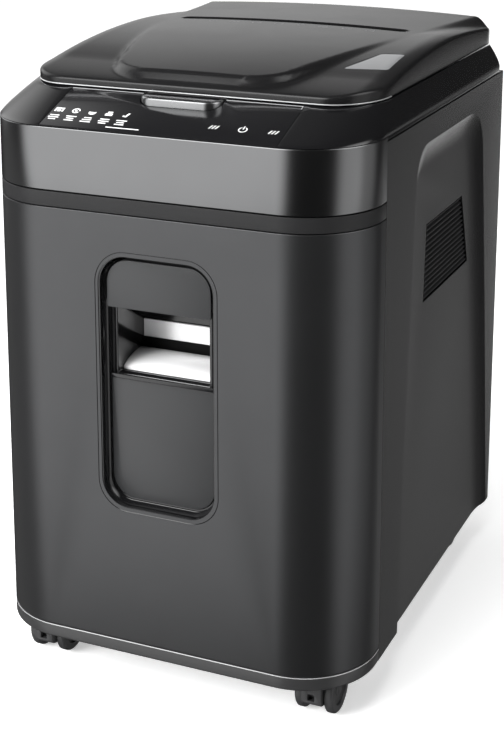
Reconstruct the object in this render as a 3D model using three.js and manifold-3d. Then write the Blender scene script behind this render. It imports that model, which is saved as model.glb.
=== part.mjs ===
// Auto-feed paper shredder with a pull-out bin, a hinged feed lid and four twin-wheel casters.
// Millimetres, +Z up. The front faces -Y, and the origin is on the floor at the middle of the plan.
import * as THREE from "three";
import { mergeVertices } from "three/addons/utils/BufferGeometryUtils.js";
import Module from "manifold-3d";

const wasm = await Module();
wasm.setup();

// ---------------------------------------------------------------- driving dimensions
const HALF_WIDTH = 175;
const HALF_DEPTH = 218.8;
const DRAFT = 0.01; // the side and front walls lean in by this much per mm of height
const SKIRT_Z = 40.5;
const FLOOR_PLATE_Z = [46.5, 50];
const BASE_TOP_Z = 53.7;
const BIN_PANEL_Z = [54.2, 439.7];
const STRIP_Z = [440.4, 453.2];
const BAND_Z = [454, 507.2];
const SIDE_TOP_Z = 503.2;
const HOUSING_Z = 503.7;
const LID_Z = 530.3;
const WALL = 3;
const SCREW_RADIUS = 4.2;
const GAP = 0.3;
const FRONT_RADIUS = 67.4;
const REAR_RADIUS = 7;
const SEAM_Y = -142.5; // where the front panels end and the side panels start

const LID_HALF_WIDTH = 158.5;
const LID_Y = [-154, 211];
const LID_CORNER = [41, 56];
const LID_REAR_RADIUS = 10;
const SLOT_HALF_LENGTH = 114;
const SLOT_Y = [72, 86];
const HINGE = { y: 206, z: 536, pinRadius: 3, x: 106 };

const BEZEL = { halfWidth: 57, z: [177.5, 409], radius: 29, rim: 8.5 };
const PULL = { halfWidth: 43, z: [300, 358], backY: -155, lipY: -196 };

const SHAFT_Z = 478;
const CUTTER_Y = [61, 95];
const CUTTER_RADIUS = 20;
const CUTTER_CORE_RADIUS = 12;
const SHAFT_RADIUS = 6;
const CUTTER_HALF_LENGTH = 112;
const DISC_COUNT = 10;
const PLATE_X = 124.5;
const GEAR_X = -134;
const GEAR_WIDTH = 8;
const MODULE = 2;
const TEETH = { motor: 10, idler: 21, cutter: 17, feed: 15 };
const FEED_OFFSET = [8, 30.98];
const FEED_ROLLER_RADIUS = 9;

const CASTER = { x: 132, frontY: -174, rearY: 168, trail: 6, wheelRadius: 22, wheelZ: 22, wheelWidth: 8 };

// ---------------------------------------------------------------- materials
const material = (color, roughness, metalness = 0) =>
  new THREE.MeshStandardMaterial({ color, roughness, metalness });
const SATIN = material(0x47484a, 0.38, 0.35);
const CASE = material(0x2b2b2d, 0.5);
const GLOSS = material(0x0b0b0c, 0.12);
const MATTE = material(0x1c1c1d, 0.6);
const SILVER = material(0xd5d7d8, 0.25, 0.9);
const SMOKED = material(0x3a3c3e, 0.15);
const FROSTED = material(0x9c9fa1, 0.35);
const STEEL = material(0x9a9da0, 0.35, 0.9);
const NYLON = material(0xe6e2d4, 0.5);
const RUBBER = material(0x181818, 0.85);
const BOARD = material(0x1f5b36, 0.45);

// ---------------------------------------------------------------- solids
function solidOf(geometry) {
  const bare = geometry.index ? geometry.clone() : geometry;
  bare.deleteAttribute("normal");
  bare.deleteAttribute("uv");
  const merged = mergeVertices(bare, 1e-4);
  return new wasm.Manifold(new wasm.Mesh({
    numProp: 3,
    vertProperties: new Float32Array(merged.attributes.position.array),
    triVerts: new Uint32Array(merged.index.array),
  }));
}

function geometryOf(solid) {
  const mesh = solid.getMesh();
  const geometry = new THREE.BufferGeometry();
  geometry.setAttribute("position", new THREE.BufferAttribute(mesh.vertProperties, 3));
  geometry.setIndex(new THREE.BufferAttribute(mesh.triVerts, 1));
  return geometry;
}

function boxGeometry(x, y, z) {
  const geometry = new THREE.BoxGeometry(x[1] - x[0], y[1] - y[0], z[1] - z[0]);
  return geometry.translate((x[0] + x[1]) / 2, (y[0] + y[1]) / 2, (z[0] + z[1]) / 2);
}

const box = (x, y, z) => solidOf(boxGeometry(x, y, z));

function prism(shape, z, curveSegments = 6) {
  const geometry = new THREE.ExtrudeGeometry(shape, { depth: z[1] - z[0], bevelEnabled: false, curveSegments });
  return solidOf(geometry.translate(0, 0, z[0]));
}

// A shape drawn as (x, z) and extruded along Y.
function frontPrism(shape, y, curveSegments = 4) {
  const geometry = new THREE.ExtrudeGeometry(shape, { depth: y[1] - y[0], bevelEnabled: false, curveSegments });
  return solidOf(geometry.rotateX(Math.PI / 2).translate(0, y[1], 0));
}

// A shape drawn as (y, z) and extruded along X.
function sidePrism(shape, x, curveSegments = 7) {
  const geometry = new THREE.ExtrudeGeometry(shape, { depth: x[1] - x[0], bevelEnabled: false, curveSegments });
  const turn = new THREE.Matrix4().set(0, 0, 1, x[0], 1, 0, 0, 0, 0, 1, 0, 0, 0, 0, 0, 1);
  return solidOf(geometry.applyMatrix4(turn));
}

function polygon(points) {
  return new THREE.Shape(points.map(([a, b]) => new THREE.Vector2(a, b)));
}

function roundedRectangle(a, b, radius) {
  return outline(a[0], a[1], b[0], b[1], radius, radius);
}

// Rounded outline with one radius at its low-b corners and another at its high-b corners.
function outline(a0, a1, b0, b1, lowRadius, highRadius) {
  const shape = new THREE.Shape();
  shape.moveTo(a0 + lowRadius, b0);
  shape.lineTo(a1 - lowRadius, b0);
  shape.absarc(a1 - lowRadius, b0 + lowRadius, lowRadius, -Math.PI / 2, 0, false);
  shape.absarc(a1 - highRadius, b1 - highRadius, highRadius, 0, Math.PI / 2, false);
  shape.absarc(a0 + highRadius, b1 - highRadius, highRadius, Math.PI / 2, Math.PI, false);
  shape.absarc(a0 + lowRadius, b0 + lowRadius, lowRadius, Math.PI, 1.5 * Math.PI, false);
  return shape;
}

// The plan outline of the cabinet, moved in by an inset.
function cabinetOutline(inset = 0) {
  const x = HALF_WIDTH - inset;
  const y = HALF_DEPTH - inset;
  return outline(-x, x, -y, y, FRONT_RADIUS - inset, REAR_RADIUS - inset);
}

function cylinderX(x, y, z, radius, segments = 20) {
  const geometry = new THREE.CylinderGeometry(radius, radius, x[1] - x[0], segments);
  return solidOf(geometry.rotateZ(Math.PI / 2).translate((x[0] + x[1]) / 2, y, z));
}

function cylinderZ(x, y, z, radius, segments = 20) {
  const geometry = new THREE.CylinderGeometry(radius, radius, z[1] - z[0], segments);
  return solidOf(geometry.rotateX(Math.PI / 2).translate(x, y, (z[0] + z[1]) / 2));
}

// A turned piece on an axis along X, from (radius, x) steps.
function turnedX(steps, y, z, segments) {
  const profile = [new THREE.Vector2(0, steps[0][1])];
  for (const [radius, x] of steps) {
    profile.push(new THREE.Vector2(radius, x));
  }
  profile.push(new THREE.Vector2(0, steps[steps.length - 1][1]));
  const geometry = new THREE.LatheGeometry(profile, segments);
  return solidOf(geometry.rotateZ(-Math.PI / 2).translate(0, y, z));
}

// Leans the side and front walls of the cabinet in towards the top; the rear wall stays upright.
function drafted(solid) {
  return solid.warp((point) => {
    const rise = DRAFT * (point[2] - SKIRT_Z);
    point[0] *= 1 - rise / HALF_WIDTH;
    point[1] *= point[1] < 0 ? 1 - rise / HALF_DEPTH : 1;
  });
}

// A closed body between a lower and an upper height over a grid of plan points.
function heightSolid(rows, columns, plan, low, high) {
  const points = [];
  const faces = [];
  for (const height of [high, low]) {
    for (let j = 0; j < rows.length; j += 1) {
      for (let i = 0; i < columns.length; i += 1) {
        const [x, y] = plan(columns[i], rows[j]);
        points.push(x, y, height(x, y));
      }
    }
  }
  const width = columns.length;
  const layer = width * rows.length;
  const quad = (a, b, c, d) => faces.push(a, b, c, a, c, d);
  for (let j = 0; j + 1 < rows.length; j += 1) {
    for (let i = 0; i + 1 < width; i += 1) {
      const a = j * width + i;
      quad(a, a + 1, a + 1 + width, a + width);
      quad(layer + a, layer + a + width, layer + a + 1 + width, layer + a + 1);
    }
  }
  for (let i = 0; i + 1 < width; i += 1) {
    const last = (rows.length - 1) * width + i;
    quad(layer + i, layer + i + 1, i + 1, i);
    quad(last, last + 1, layer + last + 1, layer + last);
  }
  for (let j = 0; j + 1 < rows.length; j += 1) {
    const a = j * width;
    const b = a + width - 1;
    quad(a, a + width, layer + a + width, layer + a);
    quad(layer + b, layer + b + width, b + width, b);
  }
  const geometry = new THREE.BufferGeometry();
  geometry.setAttribute("position", new THREE.Float32BufferAttribute(points, 3));
  geometry.setIndex(faces);
  return solidOf(geometry);
}

// ---------------------------------------------------------------- lid surface
const clamp = (value, low, high) => Math.min(high, Math.max(low, value));
const blend = (a, b, t) => a + (b - a) * t;
const ease = (t) => t * t * (3 - 2 * t);

// Height of the lid's top edge above the side wall.
function lidEdgeHeight(y) {
  if (y > 70) {
    return 554.2 - 9.2 * ((y - 70) / 141) ** 1.6;
  }
  if (y > -100) {
    return 554.2 - 13.5 * ((70 - y) / 170) ** 2.1;
  }
  return blend(532.9, 540.7, clamp((y + 154) / 54, 0, 1) ** 0.75);
}

// Height of the lid's middle line.
function lidCrestHeight(y) {
  return 559.8 - 14 * (clamp(60 - y, 0, 214) / 214) ** 2.2;
}

function plateauHalfWidth(y) {
  return 62 + 88 * (clamp(y + 150, 0, 361) / 361) ** 0.62;
}

// 0 on the low skirt of the lid and 1 on its raised middle.
function plateauWeight(x, y) {
  const slope = blend(8, 15, clamp(y / 190, 0, 1));
  const side = clamp((plateauHalfWidth(y) - Math.abs(x)) / slope + 0.5, 0, 1);
  const front = clamp((y + 150) / 10, 0, 1);
  return ease(side) * ease(front);
}

function lidTop(x, y) {
  const inward = clamp((LID_HALF_WIDTH - Math.abs(x)) / 16, 0, 1);
  const swell = blend(4, 2, clamp((y + 60) / 200, 0, 1)) * (1 - (1 - inward) ** 2);
  const skirt = lidEdgeHeight(y) + swell;
  const raised = lidCrestHeight(y) - 4.2 * (x / 150) ** 2;
  return blend(skirt, Math.max(raised, skirt), plateauWeight(x, y));
}

// Half width of the lid's plan at a depth, with elliptic front corners and small rear corners.
function lidHalfWidth(y, inset) {
  const front = clamp((LID_Y[0] + LID_CORNER[1] - y) / (LID_CORNER[1] - inset), 0, 1);
  const rear = clamp((y - LID_Y[1] + LID_REAR_RADIUS) / (LID_REAR_RADIUS - inset), 0, 1);
  const frontCut = (LID_CORNER[0] - inset) * (1 - Math.sqrt(1 - front ** 2));
  const rearCut = (LID_REAR_RADIUS - inset) * (1 - Math.sqrt(1 - rear ** 2));
  return LID_HALF_WIDTH - inset - frontCut - rearCut;
}

function lidBody(inset, low, drop) {
  const y0 = LID_Y[0] + inset;
  const y1 = LID_Y[1] - inset;
  const corner = [0, 0.08, 0.3, 0.6, 1].map((t) => blend(y0, LID_Y[0] + LID_CORNER[1], t));
  const middle = [-60, -20, 25, 72, 86, 130, 170];
  const rear = [0, 0.6, 1].map((t) => blend(LID_Y[1] - LID_REAR_RADIUS, y1, t));
  const rows = [...corner, ...middle, ...rear];
  const columns = [-1, -0.88, -0.72, -0.58, -0.44, -0.2, 0.2, 0.44, 0.58, 0.72, 0.88, 1];
  const plan = (u, y) => [u * lidHalfWidth(y, inset), y];
  return heightSolid(rows, columns, plan, () => low, (x, y) => lidTop(x, y) - drop);
}

// ---------------------------------------------------------------- assembly helpers
const shredder = new THREE.Group();

function add(name, solid, surface) {
  const mesh = new THREE.Mesh(geometryOf(solid), surface);
  mesh.name = name;
  shredder.add(mesh);
}

const SIDES = [["left", -1], ["right", 1]];
const mirrored = (solid, sign) => (sign > 0 ? solid : solid.mirror([1, 0, 0]));

// ---------------------------------------------------------------- cabinet
function baseTray() {
  const skirt = prism(cabinetOutline(), [SKIRT_Z, BASE_TOP_Z]).subtract(prism(cabinetOutline(5), [0, 100]));
  const frontSkirt = skirt.intersect(box([-200, 200], [-230, SEAM_Y - GAP], [0, 100]));
  const plate = prism(cabinetOutline(4), FLOOR_PLATE_Z);
  const frontPlate = plate.intersect(box([-200, 200], [-230, SEAM_Y - GAP], [0, 100]));
  const rearPlate = plate.intersect(box([-163, 163], [-230, 212], [0, 100]));
  const rails = box([-163, 163], [SEAM_Y - 5, 212], [SKIRT_Z, BASE_TOP_Z]);
  const frame = rails.subtract(box([-159, 159], [-200, 208], [0, 100]));
  let tray = frontSkirt.add(frontPlate).add(rearPlate).add(frame);
  for (const [, x, y] of casterPlaces()) {
    tray = tray.subtract(cylinderZ(x, y, [0, 100], 5.4, 12));
  }
  return drafted(tray);
}

// The shallow scoop in each side, drawn as (y, z); its foot is open.
function scoopShape(grow) {
  const shape = new THREE.Shape();
  shape.moveTo(-93 - grow, 20);
  shape.lineTo(-62 - grow, 440);
  shape.bezierCurveTo(-58 - grow, 468, -45, 480 + grow, -22, 480 + grow);
  shape.lineTo(104, 480 + grow);
  shape.bezierCurveTo(132, 480 + grow, 146 + grow, 468, 149 + grow, 440);
  shape.lineTo(210 + grow, 20);
  return shape;
}

function ventShape(grow) {
  return polygon([[-18 - grow, 331 - grow], [124 + grow, 331 - grow], [99 + grow, 403 + grow], [-13 - grow, 403 + grow]]);
}

function sidePanel() {
  const bounds = box([149.8, 200], [SEAM_Y, 230], [SKIRT_Z + GAP, SIDE_TOP_Z]);
  const skin = prism(cabinetOutline(), [0, 520]).subtract(prism(cabinetOutline(WALL), [-1, 521]));
  const backing = sidePrism(scoopShape(3), [165.6, 173]);
  const scoop = sidePrism(scoopShape(0), [168.6, 190]);
  const vent = sidePrism(ventShape(0), [150, 190]);
  return drafted(skin.add(backing).subtract(scoop).subtract(vent).intersect(bounds));
}

function ventGrille() {
  const rows = 12;
  const pitch = 5.6;
  let grille = sidePrism(ventShape(-GAP), [165.8, 168.4]);
  for (let row = 0; row < rows; row += 1) {
    const z = 336 + row * pitch;
    const run = (z - 331) / 72;
    const y = [blend(-14, -9, run), blend(118, 94, run)];
    grille = grille.subtract(box([150, 190], y, [z - 1.3, z + 1.3]));
  }
  return drafted(grille);
}

function rearCover() {
  const cover = box([-149.4, 149.4], [HALF_DEPTH - WALL, HALF_DEPTH], [SKIRT_Z + GAP, SIDE_TOP_Z]);
  let open = box([-40, -10], [200, 230], [78, 102]).add(box([6, 28], [200, 230], [78, 102]));
  for (let row = 0; row < 8; row += 1) {
    open = open.add(box([-60, 60], [200, 230], [410 + row * 8, 413 + row * 8]));
  }
  for (const [x, z] of screwPlaces()) {
    open = open.add(frontPrism(circle(x, z, SCREW_RADIUS + GAP), [200, 230], 4));
  }
  return drafted(cover.subtract(open));
}

function circle(a, b, radius) {
  const shape = new THREE.Shape();
  shape.absarc(a, b, radius, 0, 2 * Math.PI, false);
  return shape;
}

function screwPlaces() {
  return [[-138, 490], [138, 490]];
}

function rearScrew(x, z) {
  const head = frontPrism(circle(x, z, SCREW_RADIUS), [HALF_DEPTH - WALL, HALF_DEPTH], 4);
  const shank = frontPrism(circle(x, z, SCREW_RADIUS / 2), [HALF_DEPTH - 12, HALF_DEPTH - 1], 3);
  return head.add(shank);
}

// Front trim: a piece of the cabinet's front skin between two heights.
function frontSkin(z, thickness) {
  const bounds = box([-200, 200], [-230, SEAM_Y - GAP], z);
  const ring = prism(cabinetOutline(), z).subtract(prism(cabinetOutline(thickness), [z[0] - 1, z[1] + 1]));
  return ring.intersect(bounds);
}

// The upper housing: a loft from the cabinet outline up to the lid's foot.
function housingLoft(inset, lower, top) {
  const levels = [
    [top, LID_HALF_WIDTH + 1.5 - inset, LID_Y[0] + 1 + inset, LID_Y[1] + 2 - inset, 48],
    [BAND_Z[1] + GAP - lower, 170.4 - inset, -214.1 + inset, 214.1 - inset, FRONT_RADIUS - 1.5],
  ];
  const count = 7;
  const rings = levels.map(([z, x, y0, y1, radius]) => {
    const r = radius - inset;
    const rear = 14 - inset * 0.5;
    const ring = [];
    const arc = (cx, cy, rad, start) => {
      for (let i = 0; i < count; i += 1) {
        const angle = start + (Math.PI / 2) * (i / (count - 1));
        ring.push([cx + rad * Math.cos(angle), cy + rad * Math.sin(angle), z]);
      }
    };
    arc(x - r, y0 + r, r, -Math.PI / 2);
    arc(x - rear, y1 - rear, rear, 0);
    arc(-x + rear, y1 - rear, rear, Math.PI / 2);
    arc(-x + r, y0 + r, r, Math.PI);
    return ring;
  });
  return ringLoft(rings);
}

// A closed body through two rings of equal counts, capped with fans about the rings' middles.
function ringLoft([upper, lower]) {
  const n = upper.length;
  const middle = (ring) => [0, (ring[0][1] + ring[Math.floor(n / 2)][1]) / 2, ring[0][2]];
  const points = [...upper, ...lower, middle(upper), middle(lower)].flat();
  const faces = [];
  for (let i = 0; i < n; i += 1) {
    const j = (i + 1) % n;
    faces.push(i, n + i, n + j, i, n + j, j, 2 * n, i, j, 2 * n + 1, n + j, n + i);
  }
  const geometry = new THREE.BufferGeometry();
  geometry.setAttribute("position", new THREE.Float32BufferAttribute(points, 3));
  geometry.setIndex(faces);
  return solidOf(geometry);
}

// The slope of the console, from the front band up to the lid.
const CONSOLE = { y: [-214.1, LID_Y[0] + 1], z: [BAND_Z[1] + GAP, LID_Z - 0.6] };
const CONSOLE_ANGLE = Math.atan2(CONSOLE.z[1] - CONSOLE.z[0], CONSOLE.y[1] - CONSOLE.y[0]);
const CONSOLE_LENGTH = Math.hypot(CONSOLE.z[1] - CONSOLE.z[0], CONSOLE.y[1] - CONSOLE.y[0]);

// A plate that lies along the console slope: x range, range along the slope, depth range.
function consolePlate(x, along, depth) {
  const geometry = boxGeometry(x, along, [-depth[1], -depth[0]]);
  geometry.rotateX(CONSOLE_ANGLE).translate(0, CONSOLE.y[0], CONSOLE.z[0]);
  return solidOf(geometry);
}

const OVERLAY_ALONG = [2.5, CONSOLE_LENGTH - 2.5];

function latchShape(grow) {
  return outline(-36 - grow, 36 + grow, -172.5 - grow, -152 + grow, 12 + grow, 1);
}

function upperHousing() {
  const top = LID_Z - 0.6;
  const loft = housingLoft(0, 0, top);
  const foot = prism(outline(-170.4, 170.4, -214.1, 214.1, FRONT_RADIUS - 1.5, 14), [HOUSING_Z, BAND_Z[1] + GAP + 0.01]);
  const behindBand = box([-200, 200], [SEAM_Y + 3.3, 230], [0, 600]);
  const inner = housingLoft(4, 4, top - 4).add(box([-166, 166], [-205, 210], [480, 504.5]));
  const mouth = box([-150, 150], [-138, 201], [480, 560]);
  const hingeNotch = box([-157, 157], [196, 230], [525.5, 560]);
  let body = loft.add(foot.intersect(behindBand)).subtract(inner).subtract(mouth).subtract(hingeNotch);
  body = body.subtract(consolePlate([-105.4, 105.4], [2, CONSOLE_LENGTH - 2], [-5, 1.3]));
  body = body.subtract(prism(latchShape(0.6), [512, 560]));
  return SIDES.reduce((housing, [, sign]) => housing.add(mirrored(hingeBracket(), sign)), body);
}

// An upright on the rear wall, with the eye that holds one hinge pin.
function hingeBracket() {
  const { x, y, z, pinRadius } = HINGE;
  const width = [x - 8, x + 7];
  const upright = box(width, [y - 4.5, y + 4.5], [HOUSING_Z + 1.5, z]);
  const eye = cylinderX(width, y, z, 5, 14);
  return upright.add(eye).subtract(cylinderX([x - 20, x + 20], y, z, pinRadius + GAP, 12));
}

function controlOverlay() {
  const overlay = consolePlate([-105, 105], OVERLAY_ALONG, [0.1, 1]);
  return overlay.subtract(prism(latchShape(1), [500, 560]));
}

function latchTab() {
  const block = prism(latchShape(0), [516, 529.2]);
  return block.subtract(box([-30, 30], [-168, -150], [510, 525.5]));
}

// ---------------------------------------------------------------- lid
function slotCutter(grow) {
  return prism(outline(-SLOT_HALF_LENGTH - grow, SLOT_HALF_LENGTH + grow, SLOT_Y[0] - grow, SLOT_Y[1] + grow, 6, 6), [500, 600], 4);
}

const WINDOW = [[109, -81], [148, -76], [147, -25], [126, -28]];

function windowShape(grow) {
  const centre = [133, -52];
  return polygon(WINDOW.map(([x, y]) => [x + Math.sign(x - centre[0]) * grow, y + Math.sign(y - centre[1]) * grow]));
}

function lidShell() {
  let shell = lidBody(0, LID_Z, 0).subtract(lidBody(WALL, LID_Z - 5, WALL));
  shell = shell.subtract(slotCutter(0));
  shell = shell.subtract(prism(windowShape(0), [500, 600]));
  const lugs = [];
  for (const [, sign] of SIDES) {
    const arm = box([HINGE.x + 8, HINGE.x + 16], [HINGE.y - 6, HINGE.y + 3], [HINGE.z - 4, 552]);
    const eye = cylinderX([HINGE.x + 8, HINGE.x + 16], HINGE.y, HINGE.z, 6, 12);
    lugs.push(mirrored(arm.add(eye), sign));
  }
  const bores = SIDES.map(([, sign]) => mirrored(
    cylinderX([HINGE.x - 30, HINGE.x + 16.5], HINGE.y, HINGE.z, HINGE.pinRadius + 0.4, 12), sign));
  const bracketRoom = SIDES.map(([, sign]) => mirrored(
    box([HINGE.x - 10, HINGE.x + 7.5], [HINGE.y - 8, HINGE.y + 20], [520, HINGE.z + 10]), sign));
  const opened = shell.subtract(bracketRoom[0]).subtract(bracketRoom[1]);
  return lugs.reduce((body, lug) => body.add(lug), opened).subtract(bores[0]).subtract(bores[1]);
}

function lidWindow() {
  const pane = lidBody(0, LID_Z, 0).subtract(lidBody(WALL, LID_Z - 5, WALL));
  return pane.intersect(prism(windowShape(-GAP), [500, 600]));
}

// The liner that closes the lid from below, round the manual feed slot.
function lidLiner() {
  const plate = box([-146, 146], [46, 196], [535.5, 537.3]);
  const slot = box([-118, 118], [66, 92], [500, 600]);
  const lugRoom = box([94, 126], [190, 220], [500, 600]).add(box([-126, -94], [190, 220], [500, 600]));
  return plate.subtract(slot).subtract(lugRoom);
}

// The sprung plate that holds the stack down onto the feed rollers, on two guide posts.
function pressurePlate() {
  const plate = box([-60, 60], [-96, 34], [519.6, 521.6]);
  const posts = [-40, 40].map((x) => cylinderZ(x, -30, [521, 534], 4, 10));
  return plate.add(posts[0]).add(posts[1]);
}

// ---------------------------------------------------------------- bin
function binFrontPanel() {
  const opening = frontPrism(roundedRectangle([-53, 53], [181.5, 405], 25), [-240, -190]);
  return drafted(frontSkin(BIN_PANEL_Z, WALL).subtract(opening));
}

function binBezel() {
  const { halfWidth, z, radius, rim } = BEZEL;
  const flange = frontPrism(roundedRectangle([-halfWidth, halfWidth], z, radius), [-219.7, -219.1]);
  const tube = frontPrism(roundedRectangle([-52.6, 52.6], [181.9, 404.6], 24.6), [-219.2, -205]);
  const opening = frontPrism(
    roundedRectangle([-halfWidth + rim, halfWidth - rim], [z[0] + rim, z[1] - rim], radius - rim), [-240, -200]);
  return drafted(flange.add(tube).subtract(opening));
}

function binUpperPlate() {
  const shape = outline(-48.1, 48.1, PULL.z[1] + 1, 400.1, 2, 20);
  return drafted(frontPrism(shape, [-214, -211.5]));
}

function pullPocket() {
  const { halfWidth, z, backY } = PULL;
  const shell = box([-halfWidth - 3, halfWidth + 3], [-204.6, backY + 3], [z[0] - 5, z[1] + 4]);
  return drafted(shell.subtract(box([-halfWidth, halfWidth], [-230, backY], [z[0] - 2, z[1] + 1])));
}

function pullInsert() {
  const { halfWidth, z, backY, lipY } = PULL;
  const profile = new THREE.Shape();
  profile.moveTo(lipY, z[0] - 1.6);
  profile.lineTo(backY - GAP, z[0] - 1.6);
  profile.lineTo(backY - GAP, z[0] + 32);
  profile.lineTo(backY - 2.5, z[0] + 32);
  profile.lineTo(backY - 2.5, z[0] + 8);
  profile.lineTo(backY - 8, z[0] + 6);
  profile.quadraticCurveTo(lipY + 14, z[0] + 7, lipY, z[0] + 0.6);
  return drafted(sidePrism(profile, [-halfWidth + GAP, halfWidth - GAP], 4));
}

function binWindow() {
  const shape = outline(-48.1, 48.1, 186.4, PULL.z[0] - 6, 20, 2);
  return drafted(frontPrism(shape, [-208, -206]));
}

function binBucket() {
  const outer = prism(outline(-150, 150, -204, 170, 58, 8), [57, 432], 4);
  const inner = prism(outline(-147.5, 147.5, -201.4, 167.5, 55.5, 5.5), [59.5, 433], 4);
  const pocketHole = box([-46.6, 46.6], [-230, -180], [294.4, 362.6]);
  const windowHole = box([-40, 40], [-230, -180], [200, 284]);
  const bezelRoom = frontPrism(roundedRectangle([-53, 53], [181.4, 405.1], 25), [-230, -204.4]);
  return drafted(outer.subtract(inner).subtract(pocketHole).subtract(windowHole).subtract(bezelRoom));
}

// ---------------------------------------------------------------- cutting head
function mechanismDeck() {
  const deck = box([-158, 158], [-136, 196], [446, 449]);
  return deck.subtract(box([-113, 113], [40, 116], [440, 460]));
}

function cutterPlate() {
  const [feedY, feedZ] = FEED_OFFSET;
  let plate = box([PLATE_X - 1.5, PLATE_X + 1.5], [30, 126], [449.3, 519]);
  for (const y of CUTTER_Y) {
    plate = plate.subtract(cylinderX([100, 140], y, SHAFT_Z, SHAFT_RADIUS + 0.4, 16));
  }
  for (const y of [CUTTER_Y[0] - feedY, CUTTER_Y[1] + feedY]) {
    plate = plate.subtract(cylinderX([100, 140], y, SHAFT_Z + feedZ, 4.4, 16));
  }
  return plate;
}

// A cutter cylinder: discs along a core, with the shaft's ends at both sides.
function cutterCylinder(index) {
  const pitch = (2 * CUTTER_HALF_LENGTH) / DISC_COUNT;
  const width = pitch / 2 - 0.6;
  const shift = index === 0 ? 0.3 : pitch / 2 + 0.3;
  const steps = [[SHAFT_RADIUS, -139], [SHAFT_RADIUS, -120], [CUTTER_CORE_RADIUS, -120]];
  for (let i = 0; i < DISC_COUNT; i += 1) {
    const x = -CUTTER_HALF_LENGTH + i * pitch + shift;
    steps.push([CUTTER_CORE_RADIUS, x], [CUTTER_RADIUS, x], [CUTTER_RADIUS, x + width], [CUTTER_CORE_RADIUS, x + width]);
  }
  steps.push([CUTTER_CORE_RADIUS, 120], [SHAFT_RADIUS, 120], [SHAFT_RADIUS, 130]);
  return turnedX(steps, CUTTER_Y[index], SHAFT_Z, 10);
}

function feedShaft(y) {
  const steps = [[4, -139], [4, -110]];
  for (const x of [-88, -30, 30, 88]) {
    steps.push([4, x - 11], [FEED_ROLLER_RADIUS, x - 11], [FEED_ROLLER_RADIUS, x + 11], [4, x + 11]);
  }
  steps.push([4, 130]);
  return turnedX(steps, y, SHAFT_Z + FEED_OFFSET[1], 10);
}

// A spur gear on an axis along X with trapezoidal teeth; phase is the angle of one tooth from +Y.
function gear(teeth, y, z, phase, boreRadius) {
  const pitchRadius = (MODULE * teeth) / 2;
  const root = pitchRadius - 1.25 * MODULE;
  const tip = pitchRadius + 0.8 * MODULE;
  const step = (2 * Math.PI) / teeth;
  const points = [];
  for (let i = 0; i < teeth; i += 1) {
    const middle = phase + i * step;
    for (const [radius, part] of [[root, -0.3], [tip, -0.1], [tip, 0.1], [root, 0.3]]) {
      const angle = middle + part * step;
      points.push([radius * Math.cos(angle), radius * Math.sin(angle)]);
    }
  }
  const wheel = sidePrism(polygon(points), [GEAR_X - GEAR_WIDTH / 2, GEAR_X + GEAR_WIDTH / 2]).translate([0, y, z]);
  return wheel.subtract(cylinderX([-150, -100], y, z, boreRadius, 10));
}

// The phase that puts a gap of the driven gear over the tooth of its neighbour.
function meshPhase(direction, teeth, phase, drivenTeeth) {
  return direction + Math.PI + Math.PI / drivenTeeth - ((phase - direction) * teeth) / drivenTeeth;
}

const IDLER_Y = CUTTER_Y[0] - (MODULE * (TEETH.cutter + TEETH.idler)) / 2;
const MOTOR_Y = IDLER_Y - (MODULE * (TEETH.idler + TEETH.motor)) / 2;

function motorCan() {
  const can = cylinderX([-117, -6], MOTOR_Y, SHAFT_Z, 26, 24);
  const cap = cylinderX([-6.5, 6], MOTOR_Y, SHAFT_Z, 12, 16);
  const foot = box([-100, -30], [MOTOR_Y - 22, MOTOR_Y + 22], [449.3, 460]);
  return can.add(cap).add(foot).subtract(cylinderX([-150, -8], MOTOR_Y, SHAFT_Z, 5, 14));
}

// The motor's shaft, with its pinion cut on the end.
function motorShaft() {
  return cylinderX([-139, -10], MOTOR_Y, SHAFT_Z, 4, 14).add(gear(TEETH.motor, MOTOR_Y, SHAFT_Z, 0, 3));
}

// The gear side plate carries the idler's pin.
function idlerPin() {
  const pin = cylinderX([-140, -122], IDLER_Y, SHAFT_Z, 4, 14);
  const post = box([-124, -121], [IDLER_Y - 9, IDLER_Y + 6], [449.3, SHAFT_Z + 8]);
  return pin.add(post);
}

function paperTray() {
  const outer = prism(outline(-119, 119, -128, 192, 6, 6), [514, 529], 3);
  const inner = prism(outline(-117, 117, -126, 190, 4, 4), [516, 530], 3);
  return outer.subtract(inner).subtract(box([-108, 108], [38, 118], [500, 520]));
}

// The sliding fence that squares the stack against the tray's other side.
function paperGuide() {
  const fence = box([105, 107], [-118, 20], [516.3, 527]);
  const foot = box([92, 107], [-60, -20], [516.3, 517.8]);
  return fence.add(foot);
}

// ---------------------------------------------------------------- electrics
function circuitBoard(x, y, z, parts) {
  const slab = box(x, y, [z, z + 1.6]);
  return parts.reduce((board, [px, py, height]) => board.add(box(px, py, [z + 1, z + height])), slab);
}

function controlBoard() {
  const slab = consolePlate([-92, 92], [5, 32], [6.6, 8.2]);
  return slab.add(consolePlate([-80, -62], [10, 24], [7.5, 12]));
}

function powerInlet() {
  const body = box([-39.6, -10.4], [198, 216.5], [78.4, 101.6]);
  return drafted(body.subtract(box([-36, -14], [203, 230], [82, 98])));
}

function switchBody() {
  const body = box([6.4, 27.6], [198, 216.5], [78.4, 101.6]);
  return drafted(body.subtract(box([9, 25], [202, 230], [81, 99])));
}

function switchRocker() {
  return cylinderX([9.5, 24.5], 206, 90, 3, 12).add(sidePrism(
    polygon([[206, 83], [215.6, 83.4], [212.8, 90], [213.6, 96.6], [206, 97]]), [9.5, 24.5]));
}

// ---------------------------------------------------------------- casters
function casterPlaces() {
  const { x, frontY, rearY } = CASTER;
  return [["front_left", -x, frontY], ["front_right", x, frontY], ["rear_left", -x, rearY], ["rear_right", x, rearY]];
}

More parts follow.
